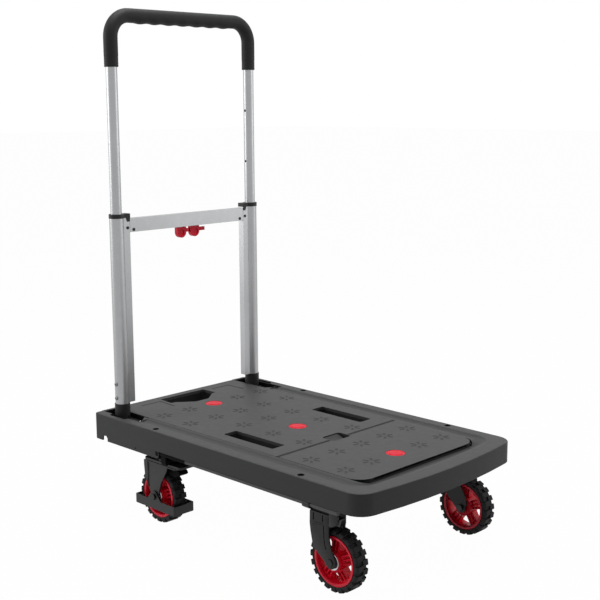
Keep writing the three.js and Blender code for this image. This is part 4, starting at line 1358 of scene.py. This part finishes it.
    def _corner_lines(self) -> None:
        """Thin moulded lines that frame the hand hole's corners, drawn as dark strips of painted shadow."""
        runs = [
            [(-383, -132), (-381.7, -77.6), (-327, -81)],
            [(-383, 85), (-383, 138), (-330, 140)],
        ]
        boxes = [box for run in runs for box in strokes(run, 2.2, 0.5)]
        low, high = self.top - 0.1, self.top + 0.15
        mesh = mesh_from("corner_lines", lambda bm: uprights(bm, boxes, low, high))
        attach(new_piece("corner_lines", mesh, Finishes.SHADOW), "deck_body")


# ---------------------------------------------------------------- handle
@dataclass
class Handle:
    """Posts, crossbar, sliding tube, grip, pulls and their screws.

    Args:
        x: where the handle stands.
        y: how far its posts are from the middle.
        top: height of the tube's middle line at the top.
        bend: radius of the tube's bends.
        tube: radius of the tube.
        grip: radius of the grip.
        grip_end: height of the grip's ends.
        tube_end: height of the tube's ends.
        holes: heights of the adjustment holes.
    """

    x: float = -363.0
    y: float = 202.5
    top: float = 1107.0
    bend: float = 48.0
    tube: float = 12.5
    grip: float = 15.7
    grip_end: float = 996.0
    tube_end: float = 548.0
    holes: tuple[float, ...] = (650.0, 777.0, 899.0)

    def build(self) -> None:
        """Builds everything that belongs to the handle."""
        for name in SIDES:
            refine(f"lower_post_{name}", Finishes.POST, 0.5, 2, 25, 28)
            refine(f"post_collar_{name}", Finishes.BLACK, 0.5)
            refine(f"handle_foot_{name}", Finishes.BLACK, 1.0)
            refine(f"finger_pull_{name}", Finishes.RED, 1.0, 3)
            plate_zinc(f"handle_pivot_pin_{name}")
            plate_zinc(f"lock_rod_{name}")
        refine("crossbar", Finishes.BAR_ALU, 0.6)
        self._tube()
        self._grip()
        self._screws()

    def _line(self, end: float, straight: int, curve: int, across: int) -> list[Vector]:
        """The middle line of the sliding tube from one end to the other.

        Args:
            end: height of its two ends.
            straight: how many stretches each leg has.
            curve: how many stretches each bend has.
            across: how many stretches the top has.

        Returns:
            The points, in metres.
        """
        high = self.top - self.bend
        reach = self.y - self.bend
        leg = [end + (high - end) * i / straight for i in range(straight)]
        points = [(-self.y, z) for z in leg]
        points += arc((-reach, high), self.bend, math.pi, -math.pi / 2, curve)
        points += [(-reach + 2 * reach * i / across, self.top) for i in range(1, across)]
        points += arc((reach, high), self.bend, math.pi / 2, -math.pi / 2, curve)
        points += [(self.y, z) for z in leg[::-1]]
        return [Vector((self.x, y, z)) * MM for y, z in points]

    def _tube(self) -> None:
        """Bends the sliding tube and drills its adjustment holes."""
        path = self._line(self.tube_end, 3, 14, 3)
        mesh = mesh_from("upper_tube", lambda bm: swept(bm, path, lambda i, a: self.tube * MM, 56), 40.0)
        piece = new_piece("upper_handle_tube_fine", mesh, Finishes.POST)
        bore, margin, depth = 3.1, 3, 9
        profile = [(0.0, 0.0), (bore, 0.0), (bore, depth), (0.0, depth)]

        def drill(bm: bmesh.types.BMesh) -> None:
            """Adds the holes on the inner faces of both legs.

            Args:
                bm: the mesh being built.
            """
            for side in SIDES.values():
                for z in self.holes:
                    start = Vector((self.x, side * (self.y - self.tube - margin), z)) * MM
                    revolve(bm, profile, start, Y_AXIS * side, 28)

        cut_out(piece, drill)
        shade(piece.data, 40.0)
        stand_in(piece, "upper_handle_tube")

    def _grip(self) -> None:
        """Wraps the grip round the tube's bends and top, with ribbed ends and finger waves."""
        path = self._line(self.grip_end, 26, 22, 90)
        lip, ribbed, rib_pitch, rib_depth, rounding = 4, 24, 4.6, 0.55, 0.8
        waves, wave_depth = 7, 2.0
        span = self.y - self.bend - 12

        def radius(i: int, a: float) -> float:
            """The grip's radius.

            Args:
                i: number of the station along the path.
                a: angle round the tube, in radians.

            Returns:
                The radius in metres.
            """
            y, height = path[i].y / MM, path[i].z / MM
            low = height - self.grip_end
            r = self.grip
            if lip < low < ribbed:
                r -= rib_depth * (0.5 + 0.5 * math.cos(2 * math.pi * low / rib_pitch))
            if i in (0, len(path) - 1):
                r -= rounding
            if abs(y) < span and height > self.top - 1:
                under = max(0.0, -self._up_sign(path, i) * math.sin(a)) ** 1.5
                wave = 0.5 - 0.5 * math.cos(2 * math.pi * (y + span) / (2 * span / waves))
                r += wave_depth * wave * under
            return r * MM

        mesh = mesh_from("grip", lambda bm: swept(bm, path, radius, 56), 45.0)
        stand_in(new_piece("handle_grip_fine", mesh, Finishes.GRIP), "handle_grip")

    @staticmethod
    def _up_sign(path: Sequence[Vector], i: int) -> float:
        """Tells which way a quarter turn round the swept tube points.

        Args:
            path: the tube's middle line.
            i: number of the station.

        Returns:
            1 if it points up, -1 if it points down.
        """
        along = (path[min(i + 1, len(path) - 1)] - path[max(i - 1, 0)]).normalized()
        return 1.0 if along.cross(X_AXIS).z > 0 else -1.0

    def _screws(self) -> None:
        """Sets the screws at the feet of the posts and on both faces of the crossbar."""
        quarter = math.pi / 2
        for name, side in SIDES.items():
            outer = [(self.x, side * (self.y + 15.9), z) for z in (258, 290)]
            turn = (-side * quarter, 0.0, 0.0)
            scatter(f"post_screws_{name}", pan_screw(4.8, 2.6), outer, Finishes.STEEL, "handle_lower", turn)
            for face, sign in (("front", 1), ("back", -1)):
                places = [(self.x + sign * 8.0, side * 178, 644), (self.x + sign * 8.0, side * 161, 639)]
                turn = (0.0, sign * quarter, 0.0)
                label = f"crossbar_screws_{face}_{name}"
                scatter(label, pan_screw(3.6, 2.0), places, Finishes.BOLT, "handle_lower", turn)


# ---------------------------------------------------------------- casters
class Casters:
    """Brackets, forks, fold plates, races, brake frames and release bars."""

    def build(self) -> None:
        """Builds the four casters' metalwork and both release bars."""
        for name in SIDES:
            self._front_fork(name, refine(f"front_fork_{name}", Finishes.BLACK, 0.6))
            # The rear fold plates are drawn near-black: painted shade under the deck.
            refine(f"fold_plate_rear_{name}", Finishes.SHADE_BLACK, 0.4)
            self._rear_fork(name, refine(f"swivel_fork_rear_{name}", Finishes.COATED, 0.6))
            refine(f"brake_frame_rear_{name}", Finishes.COATED, 0.4)
            refine(f"swivel_race_rear_{name}", Finishes.COATED, 0.4)
            bar = refine(f"release_bar_{name}", Finishes.BAR, 0.4)
            self._front_latch(name, bar)
            self._darken(bar, -98)
            for end in ENDS:
                # The rear brackets are drawn near-black as painted shade; the front ones keep the black coat.
                shell = Finishes.SHADE_BLACK if end == "rear" else Finishes.COATED
                refine(f"caster_bracket_{end}_{name}", shell, 0.4)
                refine(f"axle_{end}_{name}", Finishes.BOLT, 0.4)
                refine(f"bearing_{end}_{name}", Finishes.BOLT, 0.3)
                plate_zinc(f"caster_hinge_pin_{end}_{name}")
        self._bracket_bolts()

    @staticmethod
    def _plate(
        name: str, outline: Sequence[Pair], side: int, near: float, far: float, finish: Finish
    ) -> bpy.types.Object:
        """A plate that stands along the cart.

        Args:
            name: the piece's name.
            outline: its outline as (x, z).
            side: -1 or 1.
            near: distance of its inner face from the middle.
            far: distance of its outer face.
            finish: its finish.

        Returns:
            The piece, with softened edges.
        """
        mesh = mesh_from(name, lambda bm: slab(bm, outline, side, near, far - near), 30.0)
        piece = new_piece(name, mesh, finish)
        soften(piece, 0.5, 2, 40)
        shade(piece.data, 45.0)
        return piece

    def _front_fork(self, name: str, fork: bpy.types.Object) -> None:
        """Gives the front fork its pressed outer leg, with its slots, bead and long groove.

        Args:
            name: the side.
            fork: the fork's copy.
        """
        side = SIDES[name]
        waste = [(240, 40), (345, 40), (345, 151.8), (240, 151.8)]
        carve(fork, lambda bm: slab(bm, waste, side, 222, 10), 45.0)
        near, far = 225.0, 228.2
        eye = arc((309.5, 62.5), 12.8, math.radians(195), math.radians(170), 12)
        outline = [(256.5, 153.0), (255.9, 129.6), (258.4, 112.2), (262.3, 95.1), (266.3, 82.1), *eye]
        outline += [(320.9, 71.9), (311.9, 87.2), (306.3, 109.4), (304.7, 136.7), (305.2, 153.0)]
        leg = self._plate(f"front_leg_{name}", outline, side, near, far, Finishes.BLACK)
        grooves = [
            ([(266.5, 152.4), (266.5, 138.4)], 1.3, 2.6),
            ([(290.0, 152.6), (290.0, 139.7)], 1.3, 2.6),
            ([(266.5, 133.8), (293.9, 136.2)], 0.55, 0.8),
            ([(265.0, 129.6), (293.9, 133.0)], 0.55, 0.8),
            ([(292.6, 131.2), (293.1, 121.7), (293.9, 106.0), (295.9, 94.6), (299.0, 86.5)], 1.1, 2.2),
        ]

        def relief(bm: bmesh.types.BMesh) -> None:
            """Adds what is pressed out of the leg, as lines with a half width and a depth.

            Args:
                bm: the mesh being built.
            """
            for run, half, deep in grooves:
                for box in strokes(run, half, half * 0.7):
                    slab(bm, box, side, far - deep, 8)

        cut_out(leg, relief, crossing=True)
        shade(leg.data, 40.0)
        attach(leg, f"front_caster_{name}")

    def _rear_fork(self, name: str, fork: bpy.types.Object) -> None:
        """Presses the channel into the rear fork's outer leg and hangs the brake's latch under its crown.

        Args:
            name: the side.
            fork: the fork's copy.
        """
        side = SIDES[name]
        channel = [(-243.3, 138), (-243.3, 85), (-239, 80), (-234.3, 88), (-234.3, 138)]
        carve(fork, lambda bm: slab(bm, channel, side, 226.2, 8), 45.0)
        outline = [
            (-207, 127.2), (-199, 124.6), (-190, 121.8), (-178, 117.6), (-164, 116), (-158, 118.5),
            (-150, 121.5), (-146, 125), (-148, 129), (-152, 132), (-160, 134.5), (-207, 136.6),
        ]
        # The black latch is drawn near-black, darker than the fork's coat, as painted shade under its crown.
        latch = self._plate(f"brake_latch_{name}", outline, side, 192.0, 216.0, Finishes.SHADE_BLACK)
        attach(latch, f"rear_swivel_{name}")

    def _front_latch(self, name: str, bar: bpy.types.Object) -> None:
        """Reshapes the front latch as a curved hook.

        Args:
            name: the side.
            bar: the release bar's copy.
        """
        side = SIDES[name]
        waste = [(312, 130), (340, 130), (340, 165.2), (312, 165.2)]
        carve(bar, lambda bm: slab(bm, waste, side, 233.4, 9), 45.0)
        outline = [
            (314.6, 171.0), (323.5, 170.1), (331.1, 167.2), (335.6, 164.6), (337.4, 162.1), (336.9, 158.2),
            (336.1, 154.9), (337.2, 152.0), (337.0, 149.0), (333.4, 145.2), (328.6, 142.2), (322.8, 139.4),
            (317.2, 137.7), (315.0, 138.8), (314.6, 141.3), (315.9, 155.4),
        ]
        hook = self._plate(f"front_latch_{name}", outline, side, 233.3, 237.6, Finishes.BLACK)
        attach(hook, f"release_{name}")

    @staticmethod
    def _darken(bar: bpy.types.Object, front: float) -> None:
        """Paints the bar's rear part near-black: its latch is black, and the near-black that reaches forward
        along the grey bar is painted shade.

        Args:
            bar: the release bar.
            front: faces whose middle lies behind this x turn black.
        """
        bm = bmesh.new()
        bm.from_mesh(bar.data)
        everything = [*bm.verts, *bm.edges, *bm.faces]
        bmesh.ops.bisect_plane(bm, geom=everything, plane_co=(front * MM, 0, 0), plane_no=(1, 0, 0))
        bm.to_mesh(bar.data)
        bm.free()
        bar.data.materials.append(SHOP.get(Finishes.SHADE_BLACK))
        for polygon in bar.data.polygons:
            if polygon.center.x < front * MM:
                polygon.material_index = 1

    @staticmethod
    def _bracket_bolts() -> None:
        """Hangs the bolts under the flanges of the four caster brackets."""
        inset, under = 12, 160.1
        spans = ((250, 322), (-262, -150))
        rows = [x for rear, front in spans for x in (rear + inset, front - inset)]
        places = [(x, y, under) for x in rows for y in (-210, -190, 190, 210)]
        scatter("bracket_bolts", pan_screw(4.2, 2.4), places, Finishes.BOLT, "deck_body", (math.pi, 0.0, 0.0))


# ---------------------------------------------------------------- wheels
@dataclass
class Wheel:
    """One wheel: a lugged tyre on a dished red rim with double-rib spokes.

    Args:
        end: which end of the cart.
        name: which side of the cart.
        lugs: how many tread blocks each row has.
        spokes: how many spokes the rim has.
    """

    end: str
    name: str
    lugs: int = 20
    spokes: int = 5
    centre: Vector = field(init=False)
    side: int = field(init=False)

    def __post_init__(self) -> None:
        """Finds the wheel's middle and the side it is on."""
        low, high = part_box(f"rim_{self.end}_{self.name}")
        self.centre = Vector([(a + b) / 2 for a, b in zip(low, high)])
        self.side = SIDES[self.name]

    def build(self) -> None:
        """Builds the tyre and rim and puts them in place of the CAD nodes."""
        self._tyre()
        self._rim()
        self._bright_parts()

    def _tyre(self) -> None:
        """Builds the tyre's carcass and its two rows of tread blocks."""
        half = [(44.6, 13.1), (49.7, 13.2), (51.5, 14.4), (54.5, 14.9), (56.8, 14.0)]
        half += [(58.3, 12.0), (58.9, 7.0)]
        loop = [(r, -w) for r, w in half] + half[::-1]
        ring = mesh_from("carcass", lambda bm: revolve(bm, loop, self.centre, Y_AXIS, 96), 50.0)
        pieces = [new_piece("carcass", ring, Finishes.TYRE)]
        pitch = 2 * math.pi / self.lugs
        for row in (-1, 1):
            lug = mesh_from("lug", lambda bm: self._lug(bm, row, pitch), 20.0)
            phase = 0.0 if row < 0 else pitch / 2
            pieces.append(repeated_round(f"lugs_{row}", lug, self.centre, self.lugs, Finishes.TYRE, phase))
        tyre = joined(f"tyre_{self.end}_{self.name}_fine", pieces, 28.0)
        stand_in(tyre, f"tyre_{self.end}_{self.name}")
        log.info("tyre %s %s: %d lugs a row", self.end, self.name, self.lugs)

    @staticmethod
    def _lug(bm: bmesh.types.BMesh, row: int, pitch: float) -> None:
        """One tread block at the top of the wheel, wrapped over the shoulder.

        Args:
            bm: the mesh being built.
            row: -1 or 1, the side of the tread it is on.
            pitch: the angle between two blocks, in radians.
        """
        section = [(0.5, 62.4), (12.8, 62.4), (15.0, 61.2), (15.9, 58.6), (15.7, 54.0), (14.9, 52.6)]
        inner = [(13.8, 53.2), (11.0, 57.4), (0.5, 57.8)]
        half, shoulder, rounding, slant = pitch * 0.285, 0.86, 0.5, 0.16
        rings = []
        for a, drop in ((-half, rounding), (-half * shoulder, 0.0), (half * shoulder, 0.0), (half, rounding)):
            spots = [(w, h - drop) for w, h in section] + inner
            ring = []
            for w, h in spots:
                turn = a + slant * half * (w / 15.0)
                ring.append(bm.verts.new(Vector((h * math.sin(turn), row * w, h * math.cos(turn))) * MM))
            rings.append(ring)
        capped(bm, rings)

    def _turned(self, name: str, profile: Sequence[Pair], smooth: float, finish: Finish) -> bpy.types.Object:
        """Turns a part about the axle.

        Args:
            name: the piece's name.
            profile: closed loop of (radius, distance outwards from the wheel's middle).
            smooth: edges sharper than this many degrees stay sharp.
            finish: its finish.

        Returns:
            The piece.
        """
        out = Y_AXIS * self.side
        mesh = mesh_from(name, lambda bm: revolve(bm, profile, self.centre, out, 96), smooth)
        return new_piece(name, mesh, finish)

    def _rim(self) -> None:
        """Builds the rim: barrel, hub and spokes in one piece."""
        barrel = [
            (43.0, -11.0), (48.6, -13.6), (49.6, -13.0), (49.9, -12.4), (49.0, -12.0), (44.3, -12.0),
            (44.3, 13.4), (45.2, 13.4), (45.2, 14.6), (44.6, 14.2), (43.4, 12.4), (42.6, 10.2), (42.4, -9.0),
        ]
        hub = [
            (9.4, -15.8), (18.6, -15.8), (20.6, -13.6), (20.8, 9.4), (20.2, 11.0), (20.0, 16.9), (19.2, 17.7),
            (14.8, 17.7), (13.9, 17.0), (13.6, 6.1), (9.4, 6.1),
        ]
        pieces = [
            self._turned("barrel", barrel, 40.0, Finishes.RIM),
            self._turned("hub", hub, 40.0, Finishes.RIM),
        ]
        spoke = mesh_from("spoke", self._spoke, 30.0)
        pieces.append(repeated_round("spokes", spoke, self.centre, self.spokes, Finishes.RIM))
        rim = joined(f"rim_{self.end}_{self.name}_fine", pieces, 38.0)
        stand_in(rim, f"rim_{self.end}_{self.name}")

    def _bright_parts(self) -> None:
        """Builds the rim's lips, lighter than the rim as painted light, and the zinc washer on its hub."""
        place, wheel = f"{self.end}_{self.name}", f"{self.end}_wheel_{self.name}"
        lip = [(45.2, 13.3), (49.2, 13.3), (49.9, 13.9), (49.9, 15.0), (49.4, 15.5), (45.6, 15.5)]
        lip.append((45.2, 15.1))
        for label, face in (("outer", 1), ("inner", -1)):
            profile = [(r, face * h) for r, h in lip]
            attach(self._turned(f"rim_lip_{label}_{place}", profile, 30.0, Finishes.LIP_LIGHT), wheel)
        washer = [
            (9.2, 15.6), (13.3, 15.6), (13.3, 17.9), (16.2, 17.9),
            (16.2, 19.2), (15.6, 19.8), (10.4, 19.8), (9.2, 19.2),
        ]
        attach(self._turned(f"hub_washer_{place}", washer, 30.0, Finishes.ZINC), wheel)

    def _spoke(self, bm: bmesh.types.BMesh) -> None:
        """One spoke: three ribs with two deep slots between them, tied at the hub and at the barrel.

        Args:
            bm: the mesh being built.
        """
        back, rounding, corner = -6.0, 0.7, 0.6
        bars = [
            [(19.6, -7.6, 3.2, 12.0), (26, -8.0, 3.4, 10.4), (42.0, -9.2, 3.8, 8.8)],
            [(19.6, 7.6, 3.2, 12.0), (26, 8.0, 3.4, 10.4), (42.0, 9.2, 3.8, 8.8)],
            [(19.8, 0, 3.6, 12.0), (26, 0, 3.6, 10.4), (42.2, 0, 4.2, 8.8)],
            [(19.6, 0, 18.0, 11.4), (22.6, 0, 18.4, 10.2)],
            [(39.6, 0, 21.4, 8.1), (42.4, 0, 22.4, 8.3)],
        ]
        # Each bar runs through stations of radius, offset, width and how far out its face is.
        for bar in bars:
            rings = []
            for r, offset, width, face in bar:
                half = width / 2
                section = [(-half, back), (half, back), (half, face - rounding), (half - corner, face)]
                section += [(corner - half, face), (-half, face - rounding)]
                rings.append([bm.verts.new(Vector((offset + x, self.side * y, r)) * MM) for x, y in section])
            capped(bm, rings)


# ---------------------------------------------------------------- studio
@dataclass
class Studio:
    """Floor, lights and camera.

    Args:
        place: where the camera stands.
        azimuth: how far round from the -Y side towards the +X side it stands, in degrees.
        elevation: how far it looks down, in degrees.
        roll: how far it is tilted, in degrees.
        lens: its focal length in millimetres.
        reach: half the width of the floor.
        grey: the floor's own colour.
        glow: the share of plain white in what the camera sees of the floor.
        ambient: strength of the light from all round.
        lamps: place, size and power of each lamp.
    """

    place: tuple[float, float, float] = (1.6774, -1.6937, 0.9187)
    azimuth: float = 44.571
    elevation: float = 9.971
    roll: float = -0.294
    lens: float = 67.53
    reach: float = 30.0
    grey: float = 0.5
    glow: float = 0.985
    ambient: float = 0.12
    lamps: dict[str, tuple[tuple[float, float, float], float, float]] = field(
        default_factory=lambda: {
            "key": ((-0.2, 0.1, 3.6), 2.6, 120),
            "left": ((-2.6, -2.2, 1.3), 2.0, 42),
            "front": ((1.9, 2.6, 1.3), 2.0, 22),
        }
    )

    def build(self) -> None:
        """Sets up the camera, the floor and the light."""
        self._camera()
        self._floor()
        self._world()
        for name, (place, size, power) in self.lamps.items():
            self._lamp(name, Vector(place), size, power)
        bpy.context.scene.view_settings.view_transform = "Standard"

    def _camera(self) -> None:
        """Places the camera."""
        az, el, roll = (math.radians(v) for v in (self.azimuth, self.elevation, self.roll))
        back = Vector((math.sin(az) * math.cos(el), -math.cos(az) * math.cos(el), math.sin(el)))
        right = Vector((math.cos(az), math.sin(az), 0))
        up = back.cross(right)
        tilted_right = right * math.cos(roll) + up * math.sin(roll)
        tilted_up = up * math.cos(roll) - right * math.sin(roll)
        data = bpy.data.cameras.new("camera")
        data.lens = self.lens
        data.sensor_width = 36.0
        camera = link_object("camera", data)
        turn = Matrix((tilted_right, tilted_up, back)).transposed().to_4x4()
        camera.matrix_world = Matrix.Translation(self.place) @ turn
        bpy.context.scene.camera = camera

    @staticmethod
    def _seen(tree: Any) -> Any:
        """Tells what the camera sees from what only lights the cart.

        Args:
            tree: the node tree of the floor or the world.

        Returns:
            Socket of a value that is one for camera, glossy and transmission rays, else nought.
        """
        path = tree.nodes.new("ShaderNodeLightPath")
        total = path.outputs["Is Camera Ray"]
        for label in ("Is Glossy Ray", "Is Transmission Ray"):
            most = add_node(tree, "ShaderNodeMath", {0: total, 1: path.outputs[label]}, operation="MAXIMUM")
            total = most.outputs[0]
        return total

    def _floor(self) -> None:
        """Lays a grey floor that looks almost white to the camera, with a soft shadow."""
        r = self.reach
        mesh = bpy.data.meshes.new("floor")
        mesh.from_pydata([(-r, -r, 0), (r, -r, 0), (r, r, 0), (-r, r, 0)], [], [(0, 1, 2, 3)])
        floor = link_object("floor", mesh)
        material = bpy.data.materials.new("floor")
        tree = empty_tree(material)
        diffuse = add_node(tree, "ShaderNodeBsdfDiffuse", {"Color": (self.grey, self.grey, self.grey, 1)})
        white = add_node(tree, "ShaderNodeEmission", {"Color": (1, 1, 1, 1)})
        share = add_node(tree, "ShaderNodeMath", {0: self._seen(tree), 1: self.glow}, operation="MULTIPLY")
        mix = add_node(
            tree, "ShaderNodeMixShader", {"Fac": share.outputs[0], 1: diffuse.outputs[0], 2: white.outputs[0]}
        )
        add_node(tree, "ShaderNodeOutputMaterial", {"Surface": mix.outputs[0]})
        mesh.materials.append(material)

    def _world(self) -> None:
        """Lights the cart faintly from all round, against a background that is white to the camera."""
        world = bpy.data.worlds.new("studio")
        bpy.context.scene.world = world
        tree = empty_tree(world)
        plain, white = (
            add_node(tree, "ShaderNodeBackground", {"Color": (1, 1, 1, 1), "Strength": strength})
            for strength in (self.ambient, 1.0)
        )
        mix = add_node(
            tree, "ShaderNodeMixShader", {"Fac": self._seen(tree), 1: plain.outputs[0], 2: white.outputs[0]}
        )
        add_node(tree, "ShaderNodeOutputWorld", {"Surface": mix.outputs[0]})

    @staticmethod
    def _lamp(name: str, place: Vector, size: float, power: float) -> None:
        """Hangs a round lamp that faces the cart.

        Args:
            name: its name.
            place: where it hangs, in metres.
            size: its width in metres.
            power: its power in watts.
        """
        data = bpy.data.lights.new(name, "AREA")
        data.shape = "DISK"
        data.size = size
        data.energy = power
        lamp = link_object(name, data)
        lamp.location = place
        aim = Vector((0, 0, 0.4)) - place
        lamp.rotation_euler = aim.to_track_quat("-Z", "Y").to_euler()


def main() -> None:
    """Builds the studio and every sub-assembly."""
    Studio().build()
    Deck().build()
    Handle().build()
    Casters().build()
    for end in ENDS:
        for name in SIDES:
            Wheel(end, name).build()


if __name__ == "__main__":
    main()
